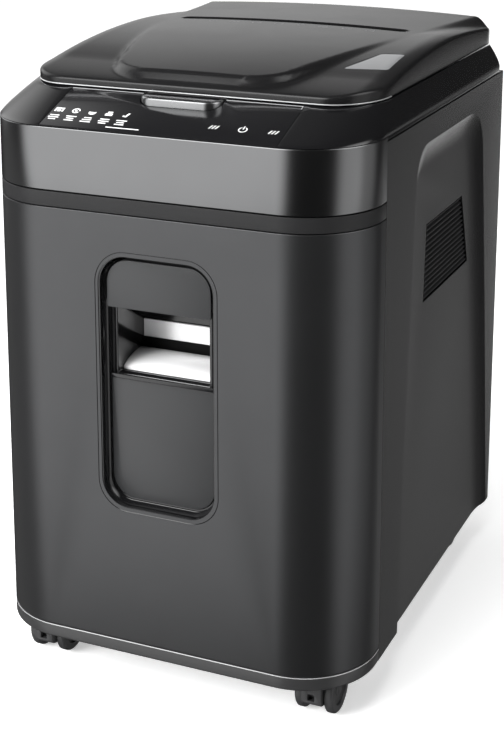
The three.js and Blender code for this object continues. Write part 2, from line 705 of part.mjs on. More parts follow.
// A hooded caster body between two wheels, with its stem on the swivel axis.
function casterHood() {
  const { wheelZ, trail } = CASTER;
  const top = FLOOR_PLATE_Z[0] - 0.4;
  const profile = new THREE.Shape();
  profile.moveTo(-21, top);
  profile.lineTo(-21, 17);
  profile.quadraticCurveTo(-10, 11, trail, 12.5);
  profile.absarc(trail, wheelZ, 9.5, -Math.PI / 2, Math.PI / 4, false);
  profile.lineTo(trail + 8, top);
  const hood = sidePrism(profile, [-9, 9], 3);
  const socket = frontPrism(roundedRectangle([-3, 3], [20.5, 26.5], 1), [-30, -16], 1);
  const swivel = cylinderZ(0, 0, [40, top], 8.6, 12);
  const stem = cylinderZ(0, 0, [top - 4, FLOOR_PLATE_Z[1] + 2], 4.6, 10);
  return hood.add(swivel).subtract(socket).add(stem).subtract(cylinderX([-20, 20], trail, wheelZ, 3.4, 8));
}

// One wheel of the pair; the inner one carries the axle and the outer one is pressed onto it.
function casterWheel(side) {
  const { wheelRadius: r, wheelWidth, wheelZ, trail } = CASTER;
  const near = 9.6;
  const far = near + wheelWidth;
  if (side === "inner") {
    const rim = [[14, 2 - far], [14, -far], [r - 2, -far], [r, 2 - far], [r, -near]];
    return turnedX([[3, 2 - far], ...rim, [3, -near], [3, far - 2.4]], trail, wheelZ, 14);
  }
  const steps = [[3.4, near], [r, near], [r, far - 2], [r - 2, far], [14, far], [14, far - 2]];
  return turnedX(steps, trail, wheelZ, 14).subtract(cylinderX([0, far - 2.1], trail, wheelZ, 3.4, 8));
}

// ---------------------------------------------------------------- the shredder
add("base_tray", baseTray(), MATTE);
for (const [side, sign] of SIDES) {
  add(`side_panel_${side}`, mirrored(sidePanel(), sign), CASE);
  add(`vent_grille_${side}`, mirrored(ventGrille(), sign), MATTE);
}
add("rear_cover", rearCover(), CASE);
screwPlaces().forEach(([x, z], index) => add(`rear_screw_${index + 1}`, drafted(rearScrew(x, z)), STEEL));
add("front_band", drafted(frontSkin(BAND_Z, WALL)), SATIN);
add("front_trim_strip", drafted(frontSkin(STRIP_Z, 2.5)), CASE);
add("upper_housing", upperHousing(), GLOSS);
add("control_overlay", controlOverlay(), GLOSS);
add("control_board", controlBoard(), BOARD);
add("latch_tab", latchTab(), SILVER);

add("lid_shell", lidShell(), GLOSS);
add("lid_window", lidWindow(), FROSTED);
add("lid_liner", lidLiner(), MATTE);
add("pressure_plate", pressurePlate(), MATTE);
for (const [side, sign] of SIDES) {
  const pin = cylinderX([HINGE.x - 8, HINGE.x + 15.5], HINGE.y, HINGE.z, HINGE.pinRadius, 12);
  add(`hinge_pin_${side}`, mirrored(pin, sign), STEEL);
}

add("bin_front_panel", binFrontPanel(), SATIN);
add("bin_bezel", binBezel(), GLOSS);
add("bin_upper_plate", binUpperPlate(), SMOKED);
add("bin_pull_pocket", pullPocket(), GLOSS);
add("bin_pull_insert", pullInsert(), SILVER);
add("bin_window", binWindow(), SMOKED);
add("bin_bucket", binBucket(), MATTE);

add("mechanism_deck", mechanismDeck(), STEEL);
for (const [side, sign] of SIDES) {
  add(`cutter_plate_${side}`, mirrored(cutterPlate(), sign), STEEL);
}
const FEED_Y = [CUTTER_Y[0] - FEED_OFFSET[0], CUTTER_Y[1] + FEED_OFFSET[0]];
["front", "rear"].forEach((place, index) => {
  const lean = index === 0 ? -1 : 1;
  const direction = Math.atan2(FEED_OFFSET[1], lean * FEED_OFFSET[0]);
  const phase = meshPhase(direction, TEETH.cutter, 0, TEETH.feed);
  add(`cutter_${place}`, cutterCylinder(index), STEEL);
  add(`cutter_gear_${place}`, gear(TEETH.cutter, CUTTER_Y[index], SHAFT_Z, 0, SHAFT_RADIUS + GAP), NYLON);
  add(`feed_roller_${place}`, feedShaft(FEED_Y[index]), RUBBER);
  add(`feed_gear_${place}`, gear(TEETH.feed, FEED_Y[index], SHAFT_Z + FEED_OFFSET[1], phase, 4 + GAP), NYLON);
});
add("idler_gear", gear(TEETH.idler, IDLER_Y, SHAFT_Z, 0, 4.4), NYLON);
add("idler_pin", idlerPin(), STEEL);
add("motor_shaft", motorShaft(), STEEL);
add("motor_can", motorCan(), STEEL);
add("paper_tray", paperTray(), MATTE);
add("paper_guide", paperGuide(), MATTE);
add("power_board", circuitBoard([30, 130], [-120, -30], 454, [
  [[40, 70], [-110, -80], 26], [[85, 100], [-112, -97], 20], [[108, 124], [-80, -50], 12]]), BOARD);
add("power_inlet", powerInlet(), MATTE);
add("switch_body", switchBody(), MATTE);
add("switch_rocker", switchRocker(), GLOSS);

for (const [place, x, y] of casterPlaces()) {
  add(`caster_${place}_hood`, casterHood().translate([x, y, 0]), MATTE);
  add(`caster_${place}_wheel_a`, casterWheel("inner").translate([x, y, 0]), RUBBER);
  add(`caster_${place}_wheel_b`, casterWheel("outer").translate([x, y, 0]), RUBBER);
}

export default shredder;
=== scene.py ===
"""An auto-feed paper shredder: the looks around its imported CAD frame.

Sizes are in millimetres and are turned to metres when a mesh is made. +Z is up and the front faces -Y.
"""
import math

import bpy
import bmesh
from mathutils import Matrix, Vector


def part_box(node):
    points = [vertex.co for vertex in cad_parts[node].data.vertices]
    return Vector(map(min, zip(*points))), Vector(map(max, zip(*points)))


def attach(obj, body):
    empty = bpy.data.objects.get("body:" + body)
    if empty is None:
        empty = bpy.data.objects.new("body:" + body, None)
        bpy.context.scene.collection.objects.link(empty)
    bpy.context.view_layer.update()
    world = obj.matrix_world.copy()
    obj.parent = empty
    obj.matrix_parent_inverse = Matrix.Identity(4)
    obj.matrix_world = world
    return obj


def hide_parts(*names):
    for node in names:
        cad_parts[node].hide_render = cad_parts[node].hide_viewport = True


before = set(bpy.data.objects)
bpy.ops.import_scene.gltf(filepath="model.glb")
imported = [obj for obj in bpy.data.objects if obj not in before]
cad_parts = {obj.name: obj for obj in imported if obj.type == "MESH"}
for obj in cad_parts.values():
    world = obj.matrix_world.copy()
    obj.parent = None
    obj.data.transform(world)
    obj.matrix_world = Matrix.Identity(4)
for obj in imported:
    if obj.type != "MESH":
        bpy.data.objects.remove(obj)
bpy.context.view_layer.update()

MM = 0.001

# ---------------- sizes taken from the frame
def box_mm(node):
    low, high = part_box(node)
    return low / MM, high / MM


HALF_WIDTH = box_mm("base_tray")[1].x
HALF_DEPTH = -box_mm("base_tray")[0].y
SKIRT_Z, BASE_TOP_Z = (corner.z for corner in box_mm("base_tray"))
BIN_Z = [corner.z for corner in box_mm("bin_front_panel")]
STRIP_Z = [corner.z for corner in box_mm("front_trim_strip")]
BAND_Z = [corner.z for corner in box_mm("front_band")]
SIDE_Z = [corner.z for corner in box_mm("side_panel_right")]
HOUSING_Z = box_mm("upper_housing")[0].z

# ---------------- sizes of the looks
DRAFT = 0.01  # inward lean of the walls per unit of height
FRONT_RADIUS = 67.4
REAR_RADIUS = 3.2
SEAM_Y = -142.5  # where the front skin meets the side panels
COVER_EDGE_X = 150.2  # where the side panels meet the rear cover

LID_Z = 530.3  # the lid's lower edge
LID_HALF_WIDTH = 158.5
LID_Y = (-154, 211)
LID_CORNER = (41, 56)  # half axes of the elliptic front corners
LID_REAR_RADIUS = 10
LID_WALL = 3
SLOT_HALF_LENGTH = 114
SLOT_Y = (72, 86)
SLOT_RADIUS = 6.95

scene = bpy.context.scene
scene.view_settings.view_transform = "Standard"


# ---------------- small maths
def clamp(value, low=0.0, high=1.0):
    return min(high, max(low, value))


def mix(a, b, t):
    return a + (b - a) * t


def ease(t):
    t = clamp(t)
    return t * t * (3 - 2 * t)


def arc(cx, cy, rx, ry, start, stop, steps):
    """Points of an elliptic arc, angles in degrees."""
    angles = [math.radians(mix(start, stop, i / steps)) for i in range(steps + 1)]
    return [(cx + rx * math.cos(a), cy + ry * math.sin(a)) for a in angles]


def bezier(p0, p1, p2, p3, steps):
    points = []
    for i in range(steps + 1):
        t = i / steps
        weights = ((1 - t) ** 3, 3 * t * (1 - t) ** 2, 3 * t * t * (1 - t), t ** 3)
        points.append(tuple(sum(w * p[k] for w, p in zip(weights, (p0, p1, p2, p3))) for k in (0, 1)))
    return points


def rounded(a0, a1, b0, b1, low, high=None, steps=10):
    """A rounded rectangle, with one radius at its low-b corners and another at its high-b corners."""
    high = low if high is None else high
    return (
        arc(a1 - low, b0 + low, low, low, -90, 0, steps)
        + arc(a1 - high, b1 - high, high, high, 0, 90, steps)
        + arc(a0 + high, b1 - high, high, high, 90, 180, steps)
        + arc(a0 + low, b0 + low, low, low, 180, 270, steps)
    )


def circle(cx, cy, radius, steps=48):
    return arc(cx, cy, radius, radius, 0, 360 * (steps - 1) / steps, steps - 1)


def lean(point):
    """The inward lean of the cabinet's side and front walls; the rear wall stays upright."""
    x, y, z = point
    rise = DRAFT * (z - SKIRT_Z)
    return (x * (1 - rise / HALF_WIDTH), y * (1 - rise / HALF_DEPTH) if y < 0 else y, z)


# ---------------- mesh making
def new_object(name, points, faces):
    mesh = bpy.data.meshes.new(name)
    mesh.from_pydata([Vector(p) * MM for p in points], [], faces)
    work = bmesh.new()
    work.from_mesh(mesh)
    bmesh.ops.remove_doubles(work, verts=work.verts, dist=1e-6)
    bmesh.ops.recalc_face_normals(work, faces=work.faces)
    work.to_mesh(mesh)
    work.free()
    obj = bpy.data.objects.new(name, mesh)
    scene.collection.objects.link(obj)
    return obj


def loft(name, rings, caps=True):
    """A body through closed rings of equal counts. Without caps the last ring joins the first."""
    count = len(rings[0])
    points = [p for ring in rings for p in ring]
    faces = []
    bands = len(rings) - 1 if caps else len(rings)
    for r in range(bands):
        a, b = r * count, ((r + 1) % len(rings)) * count
        for i in range(count):
            j = (i + 1) % count
            faces.append((a + i, a + j, b + j, b + i))
    if caps:
        faces.append(tuple(range(count)))
        faces.append(tuple(range(len(points) - count, len(points))))
    return new_object(name, points, faces)


AXES = {
    "xy": lambda a, b, c: (a, b, c),
    "xz": lambda a, b, c: (a, c, b),
    "yz": lambda a, b, c: (c, a, b),
}


def prism(name, outline, plane, c0, c1):
    place = AXES[plane]
    return loft(name, [[place(a, b, c) for a, b in outline] for c in (c0, c1)])


def block(name, x, y, z):
    return prism(name, [(x[0], y[0]), (x[1], y[0]), (x[1], y[1]), (x[0], y[1])], "xy", *z)


def lathe(name, steps, centre, axis="x", segments=64):
    """A turned body from (radius, position) steps along an axis through centre."""
    rings = []
    for radius, along in steps:
        ring = []
        for i in range(segments):
            a = 2 * math.pi * i / segments
            u, v = max(radius, 0.01) * math.cos(a), max(radius, 0.01) * math.sin(a)
            offset = (along, u, v) if axis == "x" else (u, v, along)
            ring.append(tuple(c + o for c, o in zip(centre, offset)))
        rings.append(ring)
    return loft(name, rings)


def apply_modifiers(obj):
    depsgraph = bpy.context.evaluated_depsgraph_get()
    mesh = bpy.data.meshes.new_from_object(obj.evaluated_get(depsgraph), depsgraph=depsgraph)
    obj.modifiers.clear()
    obj.data = mesh
    return obj


def boolean(obj, cutters, operation="DIFFERENCE"):
    """Cuts or joins obj with other bodies, which are then removed."""
    for cutter in cutters:
        step = obj.modifiers.new("cut", "BOOLEAN")
        step.operation = operation
        step.solver = "EXACT"
        step.object = cutter
    apply_modifiers(obj)
    for cutter in cutters:
        bpy.data.objects.remove(cutter)
    return obj


def join(name, objects):
    """One object that holds several separate closed bodies."""
    work = bmesh.new()
    for obj in objects:
        work.from_mesh(obj.data)
        bpy.data.objects.remove(obj)
    mesh = bpy.data.meshes.new(name)
    work.to_mesh(mesh)
    work.free()
    obj = bpy.data.objects.new(name, mesh)
    scene.collection.objects.link(obj)
    return obj


def soften(obj, width=0.8, segments=2, angle=35):
    """Rounds every sharp edge."""
    step = obj.modifiers.new("edge", "BEVEL")
    step.width = width * MM
    step.segments = segments
    step.limit_method = "ANGLE"
    step.angle_limit = math.radians(angle)
    step.use_clamp_overlap = True
    step.harden_normals = False
    return apply_modifiers(obj)


def leaned(obj):
    for vertex in obj.data.vertices:
        vertex.co = Vector(lean(vertex.co / MM)) * MM
    return obj


def piece(obj, body, material, replaces=(), smooth=32):
    """Finishes a piece: shading, material, and the body that it rides on."""
    mesh = obj.data
    for polygon in mesh.polygons:
        polygon.use_smooth = True
    mesh.set_sharp_from_angle(angle=math.radians(smooth))
    mesh.materials.clear()
    mesh.materials.append(material)
    if replaces:
        obj.name = f"{replaces[0]}_fine"
        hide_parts(*replaces)
    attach(obj, body)


# ---------------- materials
def fill(node, values):
    """Sets a node's input sockets, by name or by number."""
    for socket, value in values.items():
        node.inputs[socket].default_value = value


def shader(name, colour, roughness, metallic=0.0, coat=0.0, grain=None, vary=0.0, specular=0.5, smudge=0.0):
    """A moulded, painted or plated finish.

    grain is (scale per metre, bump height in metres), vary the colour's unevenness, smudge the roughness's.
    """
    material = bpy.data.materials.new(name)
    material.use_nodes = True
    nodes, links = material.node_tree.nodes, material.node_tree.links
    surface = nodes["Principled BSDF"]
    fill(surface, {"Base Color": (*colour, 1), "Roughness": roughness, "Metallic": metallic,
                   "Specular IOR Level": specular, "Coat Weight": coat, "Coat Roughness": 0.08})
    place = nodes.new("ShaderNodeTexCoord").outputs["Object"]

    def cloud(scale, detail, distortion=0.0):
        texture = nodes.new("ShaderNodeTexNoise")
        fill(texture, {"Scale": scale, "Detail": detail, "Distortion": distortion})
        links.new(place, texture.inputs["Vector"])
        return texture.outputs["Fac"]

    if vary:
        ramp = nodes.new("ShaderNodeMix")
        ramp.data_type = "RGBA"
        fill(ramp, {6: (*[c * (1 - vary) for c in colour], 1),
                    7: (*[min(1, c * (1 + vary)) for c in colour], 1)})
        links.new(cloud(26, 5), ramp.inputs[0])
        links.new(ramp.outputs[2], surface.inputs["Base Color"])
    if smudge:
        span = nodes.new("ShaderNodeMapRange")
        fill(span, {"To Min": max(0.0, roughness - smudge), "To Max": roughness + smudge})
        links.new(cloud(14, 6, 0.6), span.inputs["Value"])
        links.new(span.outputs["Result"], surface.inputs["Roughness"])
    if grain:
        scale, height = grain
        bump = nodes.new("ShaderNodeBump")
        fill(bump, {"Strength": 1.0, "Distance": height})
        links.new(cloud(scale, 3), bump.inputs["Height"])
        links.new(bump.outputs["Normal"], surface.inputs["Normal"])
    return material


CASE = shader("case_plastic", (0.0045, 0.0045, 0.0048), 0.24, grain=(900, 0.00003), vary=0.06, smudge=0.03)
BAND = shader("band_metal_paint", (0.27, 0.272, 0.276), 0.23, metallic=1.0, grain=(1600, 0.00002),
              vary=0.03, smudge=0.03)
PANEL = shader("panel_metal_paint", (0.112, 0.113, 0.116), 0.33, metallic=0.94, grain=(1400, 0.00004),
               vary=0.04, smudge=0.03)
GLOSS = shader("gloss_black", (0.006, 0.006, 0.0065), 0.10, coat=0.3, vary=0.05, specular=0.75, smudge=0.02)
OVERLAY = shader("overlay_film", (0.008, 0.008, 0.0087), 0.14, vary=0.05, specular=0.4, smudge=0.02)
LID = shader("lid_plastic", (0.008, 0.008, 0.0083), 0.24, grain=(1100, 0.00002), vary=0.05, smudge=0.03)
# A white insert whose near-white base colour also stands in for the key light's reflection in it: partly
# painted reflection.
WHITE_INSERT_AND_REFLECTION = shader("white_insert_painted_reflection", (0.96, 0.96, 0.965), 0.24, metallic=0.15, coat=0.5, smudge=0.04)
SMOKED = shader("smoked_panel", (0.027, 0.0275, 0.0285), 0.34, vary=0.04, smudge=0.03)
FROSTED = shader("frosted_window", (0.20, 0.203, 0.207), 0.24, coat=0.3, vary=0.08, smudge=0.05)
INNER = shader("inner_plastic", (0.017, 0.017, 0.018), 0.50, grain=(1000, 0.00006), vary=0.08)
STEEL = shader("zinc_steel", (0.46, 0.47, 0.48), 0.34, metallic=1.0, grain=(700, 0.00003), vary=0.10,
               smudge=0.08)
CUTTER = shader("ground_steel", (0.36, 0.36, 0.37), 0.26, metallic=1.0, grain=(1400, 0.00002), vary=0.10,
                smudge=0.08)
NYLON = shader("gear_nylon", (0.74, 0.71, 0.60), 0.46, grain=(900, 0.00003), vary=0.05)
RUBBER = shader("rubber", (0.020, 0.020, 0.020), 0.62, grain=(800, 0.00010), vary=0.10, specular=0.35)
BOARD = shader("solder_mask", (0.02, 0.12, 0.05), 0.35, vary=0.12)
CASTER = shader("caster_plastic", (0.030, 0.030, 0.031), 0.40, grain=(900, 0.00006), vary=0.08, smudge=0.05)
PRINT = shader("print_white", (0.85, 0.85, 0.85), 0.5, vary=0.03)
STRIP = shader("strip_plastic", (0.014, 0.014, 0.0145), 0.36, grain=(1000, 0.00004), vary=0.05,
               specular=0.32, smudge=0.03)
BASE = shader("base_plastic", (0.022, 0.022, 0.0225), 0.30, grain=(900, 0.00003), vary=0.06, specular=0.7,
              smudge=0.03)
# Painted highlight: a light grey for thin beads on black edges, standing in for the light that those edges
# catch.
HIGHLIGHT_GREY = shader("painted_highlight_grey", (0.62, 0.62, 0.63), 0.25, metallic=0.5, vary=0.2)
LATCH = shader("latch_metal", (0.43, 0.435, 0.44), 0.27, metallic=1.0, grain=(1500, 0.00001), vary=0.08,
               smudge=0.05)
# Painted shade: a matte near-black for linings that stand in for the shade inside the feed slot and in the
# pull's groove.
SHADE_BLACK = shader("painted_shade_black", (0.003, 0.003, 0.003), 0.6, vary=0.1, specular=0.2)
FAINT = shader("print_grey", (0.16, 0.16, 0.165), 0.4, vary=0.05)


# ---------------- cabinet skin
def corner_path(cx, cy, radius, start, stop, steps):
    """Plan points of a rounded corner, each with its outward normal."""
    path = []
    for i in range(steps + 1):
        a = math.radians(mix(start, stop, i / steps))
        path.append((cx + radius * math.cos(a), cy + radius * math.sin(a), math.cos(a), math.sin(a)))
    return path


def front_path():
    """The front skin's plan path, from the left seam round to the right one."""
    corner = corner_path(HALF_WIDTH - FRONT_RADIUS, FRONT_RADIUS - HALF_DEPTH, FRONT_RADIUS, -90, 0, 28)
    right = corner + [(HALF_WIDTH, SEAM_Y - 0.5, 1, 0)]
    left = [(-x, y, -nx, ny) for x, y, nx, ny in reversed(right)]
    return left + right


def side_path():
    """The right side panel's plan path, from the seam to the rear cover."""
    corner = corner_path(HALF_WIDTH - REAR_RADIUS, HALF_DEPTH - REAR_RADIUS, REAR_RADIUS, 0, 90, 14)
    return [(HALF_WIDTH, SEAM_Y, 1, 0)] + corner + [(COVER_EDGE_X, HALF_DEPTH, 0, 1)]


def skin_section(z, thickness, top=0.9, bottom=0.9, steps=3):
    """A closed (inset, z) section with rounded outer edges."""
    lower = arc(bottom, z[0] + bottom, bottom, bottom, 270, 180, steps)
    upper = arc(top, z[1] - top, top, top, 180, 90, steps)
    return lower + upper + [(thickness, z[1]), (thickness, z[0])]


def skin(name, path, section):
    """A skin with one section all along a plan path."""
    rings = [[lean((x - nx * inset, y - ny * inset, z)) for inset, z in section] for x, y, nx, ny in path]
    return loft(name, rings)


def front_band():
    body = skin("front_band", front_path(), skin_section(BAND_Z, 3, top=1.2, bottom=0.8))
    piece(body, "cabinet", BAND, ["front_band"])


def front_strip():
    body = skin("front_trim_strip", front_path(), skin_section(STRIP_Z, 2.5, top=0.5, bottom=0.5))
    piece(body, "cabinet", STRIP, ["front_trim_strip"])


def bin_front():
    body = skin("bin_front_panel", front_path(), skin_section(BIN_Z, 3, top=0.8, bottom=0.8))
    hole = prism("hole", rounded(-53, 53, 181.5, 405, 25), "xz", -240, -190)
    piece(boolean(body, [hole]), "bin", PANEL, ["bin_front_panel"])


def base_tray():
    """The base's rounded front skirt."""
    section = skin_section((SKIRT_Z, BASE_TOP_Z), 5, top=1.1, bottom=2.2, steps=4)
    skirt = skin("base_tray", front_path(), section)
    piece(skirt, "cabinet", BASE)


def base_highlight_bead():
    """A light grey bead on the base skirt's upper edge: a painted highlight."""
    low = BASE_TOP_Z - 1.1
    bead = skin("base_highlight_bead", front_path(), [(-0.1, low), (-0.1, low + 0.6), (0.6, low + 0.6), (0.6, low)])
    piece(bead, "cabinet", HIGHLIGHT_GREY)


# ---------------- side panels
SCOOP_DEPTH = 5.6


def scoop_outline(front, top, rear):
    """The scoop's outline in (y, z), moved in by an amount at the front, the top and the rear."""
    side = [(-93.5 + front, 20), (-90.5 + front, 64), (-85 + front, 188), (-71 + front, 351)]
    crown = bezier((-65 + front, 436), (-62 + front * 0.9, 466 - top * 0.6), (-52 + front, 480 - top),
                   (-28 + front * 0.6, 480 - top), 12)
    back = bezier((96 - rear * 0.5, 480 - top), (130 - rear * 0.8, 480 - top), (145 - rear, 466 - top * 0.5),
                  (150 - rear, 436), 12)
    return side + crown + back + [(175 - rear, 276), (208 - rear, 41), (211 - rear, 20)]


def scoop_cutter(name):
    """The body that the scoop is cut with: a crisp rim, and walls that round into the floor."""
    rings = [[(HALF_WIDTH + 6, y, z) for y, z in scoop_outline(0, 0, 0)]]
    steps = 8
    for i in range(steps + 1):
        t = i / steps
        depth = SCOOP_DEPTH * math.sin(t * math.pi / 2) ** 0.9
        outline = scoop_outline(18 * t, 24 * t, 38 * t)
        rings.append([(HALF_WIDTH - depth, y, z) for y, z in outline])
    return loft(name, rings)


VENT = [(-18, 331.5), (124, 331.5), (99, 402.5), (-13, 402.5)]


def vent_outline(grow):
    (ay, az), (by, _), (cy, cz), (dy, _) = VENT
    return [(ay - grow, az - grow), (by + grow, az - grow), (cy + grow, cz + grow), (dy - grow, cz + grow)]


def mirror(obj):
    """The same body on the other side of the cabinet."""
    for vertex in obj.data.vertices:
        vertex.co.x = -vertex.co.x
    obj.data.flip_normals()
    return obj


def side_panel(side):
    """A side wall with its scoop and its vent opening, the left one mirrored from the right one."""
    body = skin(f"side_panel_{side}", side_path(), skin_section(SIDE_Z, 3, top=0.7, bottom=1.2))
    pad = prism("pad", scoop_outline(-3, -3, -3), "yz", HALF_WIDTH - 9.5, HALF_WIDTH - 2)
    trim = block("trim", (140, 200), (-300, 300), (-40, SIDE_Z[0] + 0.6))
    pad = leaned(boolean(pad, [trim]))
    scoop = leaned(scoop_cutter("scoop"))
    vent = prism("vent", vent_outline(0), "yz", 150, 190)
    boolean(body, [pad], "UNION")
    boolean(body, [scoop, vent])
    soften(body, 0.6, 2, 28)
    if side == "left":
        mirror(body)
    piece(body, "cabinet", CASE, [f"side_panel_{side}"], smooth=9)


def vent_grille(side):
    """Louvres with thin uprights behind them, in the scoop's floor."""
    low, high = VENT[0][1], VENT[2][1]
    rows = 15
    pitch = (high - low) / rows
    parts = []
    for row in range(rows):
        z = low + (row + 0.5) * pitch
        run = (z - low) / (high - low)
        front, rear = mix(VENT[0][0], VENT[3][0], run) - 0.4, mix(VENT[1][0], VENT[2][0], run) + 0.4
        blade = [(166.2, z + 0.9), (168.0, z - 0.1), (168.0, z - 1.0), (165.4, z + 0.2), (165.0, z + 1.0)]
        rings = [[(x, y, level) for x, level in blade] for y in (front, rear)]
        parts.append(loft("blade", rings))
    for y in range(-14, 122, 6):
        reach = high if -13 < y < 99 else (low + 10 if y <= -13 else low + (124 - y) / 25 * 71)
        parts.append(block("upright", (163.4, 165.2), (y - 0.8, y + 0.8), (low, max(low + 3, reach))))
    body = leaned(join(f"vent_grille_{side}", parts))
    if side == "left":
        mirror(body)
    piece(body, "cabinet", INNER, [f"vent_grille_{side}"])


# ---------------- upper housing and console
CONSOLE_FOOT = (-HALF_DEPTH + 4.7, 507.5)
CONSOLE_HEAD = (-153.0, 529.7)
CONSOLE_ANGLE = math.atan2(CONSOLE_HEAD[1] - CONSOLE_FOOT[1], CONSOLE_HEAD[0] - CONSOLE_FOOT[0])
CONSOLE_LENGTH = math.hypot(CONSOLE_HEAD[1] - CONSOLE_FOOT[1], CONSOLE_HEAD[0] - CONSOLE_FOOT[0])
HOUSING_HALF_WIDTH = 170.4
HOUSING_REAR_Y = 214.1


def on_console(x, along, height=0.0):
    """A point on the console slope: across, up the slope, and out of it."""
    sine, cosine = math.sin(CONSOLE_ANGLE), math.cos(CONSOLE_ANGLE)
    y = CONSOLE_FOOT[0] + along * cosine - height * sine
    return (x, y, CONSOLE_FOOT[1] + along * sine + height * cosine)


def console_prism(name, outline, low, high):
    """A body on the slope, from an outline in (x, along)."""
    return loft(name, [[on_console(x, along, height) for x, along in outline] for height in (low, high)])


def housing_ring(t, inset=0.0):
    """The housing's plan ring at a share t of the way up its slope."""
    side = clamp((t - 0.1) / 0.9) ** 1.35
    x = mix(HOUSING_HALF_WIDTH, LID_HALF_WIDTH + 1.5, side) - inset
    front = mix(CONSOLE_FOOT[0], CONSOLE_HEAD[0], t) + inset
    rear = mix(HOUSING_REAR_Y, LID_Y[1] + 2, side) - inset
    radius = mix(FRONT_RADIUS - 1.5, 48, t) - inset
    z = mix(CONSOLE_FOOT[1], CONSOLE_HEAD[1], t)
    corner = 14 - inset * 0.5
    plan = (arc(x - radius, front + radius, radius, radius, -90, 0, 18)
            + arc(x - corner, rear - corner, corner, corner, 0, 90, 8)
            + arc(-x + corner, rear - corner, corner, corner, 90, 180, 8)
            + arc(-x + radius, front + radius, radius, radius, 180, 270, 18))
    return [(px, py, z) for px, py in plan]


def latch_outline(grow):
    return rounded(-36 - grow, 36 + grow, -172.5 - grow, -152 + grow, 12 + grow, 1, steps=8)


def hinge_axis():
    """The right hinge pin's inner end in x, and the hinge line's y and z."""
    low, high = box_mm("hinge_pin_right")
    return low.x, (low.y + high.y) / 2, (low.z + high.z) / 2


def housing_bracket(sign):
    """The upright with the eye that holds one hinge pin."""
    start, y, z = hinge_axis()
    x0, x1 = sorted((sign * start, sign * (start + 15)))
    profile = [(y - 4.5, HOUSING_Z + 1.5), (y + 4.5, HOUSING_Z + 1.5)] + arc(y, z, 4.7, 4.7, 0, 180, 14)
    upright = prism("upright", profile, "yz", x0, x1)
    return boolean(upright, [prism("bore", circle(y, z, 3.3, 24), "yz", x0 - 5, x1 + 5)])


def upper_housing():
    """The hollow housing: the console slope, the shoulders, and the mouth under the lid."""
    top = [housing_ring(i / 10) for i in range(11)]
    foot = [[(x, y, z) for x, y, _ in housing_ring(0)] for z in (HOUSING_Z + 0.9, CONSOLE_FOOT[1] - 1)]
    start = [[(x * 0.994, y * 0.996, HOUSING_Z) for x, y, _ in housing_ring(0)]]
    body = loft("upper_housing", start + foot + top)
    lower = [[(x, y, z) for x, y, _ in housing_ring(0, 3)] for z in (480, 500)]
    upper = [[(x, y, z - 3.5) for x, y, z in housing_ring(t, 3)] for t in (0.0, 0.25, 0.5, 0.75, 1.0)]
    hollow = loft("hollow", lower + upper)
    front_room = block("front_room", (-200, 200), (-260, SEAM_Y + 3.3), (480, CONSOLE_FOOT[1]))
    mouth = prism("mouth", rounded(-150, 150, -138, 201, 14), "xy", 480, 560)
    notch = block("notch", (-157, 157), (196, 240), (525.5, 560))
    sunk = console_prism("sunk", bar(-105.5, 105.5, 1.6, CONSOLE_LENGTH - 1.5), -1.0, 6)
    pocket = prism("pocket", latch_outline(0.7), "xy", 505, 560)
    boolean(body, [hollow, front_room, mouth, notch, sunk, pocket])
    for sign in (-1, 1):
        boolean(body, [housing_bracket(sign)], "UNION")
    soften(body, 0.5, 2, 32)
    piece(body, "cabinet", GLOSS, ["upper_housing"])


def control_overlay():
    plate = console_prism("control_overlay", bar(-105, 105, 2.1, CONSOLE_LENGTH - 2.0), -0.95, -0.1)
    boolean(plate, [prism("pocket", latch_outline(1.0), "xy", 500, 560)])
    soften(plate, 0.25, 2, 40)
    piece(plate, "cabinet", OVERLAY, ["control_overlay"])


def print_and_highlight_marks(name, shapes, material):
    """Thin marks on the console, from outlines in (x, along): print, and also the painted highlight on the
    overlay's edge.
    """
    parts = [console_prism("mark", shape, -0.12, 0.02) for shape in shapes]
    piece(join(name, parts), "cabinet", material)


def bar(x0, x1, a0, a1, slant=0.0):
    """A straight bar's outline, its far end moved along by slant."""
    return [(x0, a0), (x1, a0), (x1 + slant, a1), (x0 + slant, a1)]


def ring_marks(cx, cy, radius, width, start, stop):
    """An arc-shaped mark, as a list with one outline."""
    outer = arc(cx, cy, radius, radius, start, stop, 16)
    inner = arc(cx, cy, radius - width, radius - width, stop, start, 16)
    return [outer + inner]


def console_marks():
    """Five generic pictograms with plain caption bars, and three touch marks."""
    marks = []
    for index in range(5):
        x = -98.5 + 15.5 * index
        marks += pictogram(index, x, 24)
        for line in range(3):
            reach = (4.2, 4.8, 3.4)[(line + index) % 3]
            marks.append(bar(x - reach, x + reach, 17.6 - 3.0 * line, 18.8 - 3.0 * line))
    marks.append(bar(-46, -16, 6.6, 7.6))
    for x in (44, 95):
        marks += [bar(x + dx, x + dx + 0.9, 18.5, 23.5, 1.6) for dx in (-3.9, -1.1, 1.7)]
    marks += ring_marks(69, 21, 3.8, 0.8, 118, 422)
    marks.append(bar(68.6, 69.4, 21.5, 26.0))
    print_and_highlight_marks("console_marks", marks, PRINT)


def overlay_highlight_edge():
    """A painted highlight along the control overlay's upper edge, which the latch interrupts."""
    top = CONSOLE_LENGTH - 2.1
    edges = [bar(-104.6, -37.6, top - 0.7, top), bar(37.6, 104.6, top - 0.7, top)]
    edges.append(bar(104, 104.6, top - 5, top - 0.7))
    print_and_highlight_marks("overlay_highlight_edge", edges, HIGHLIGHT_GREY)


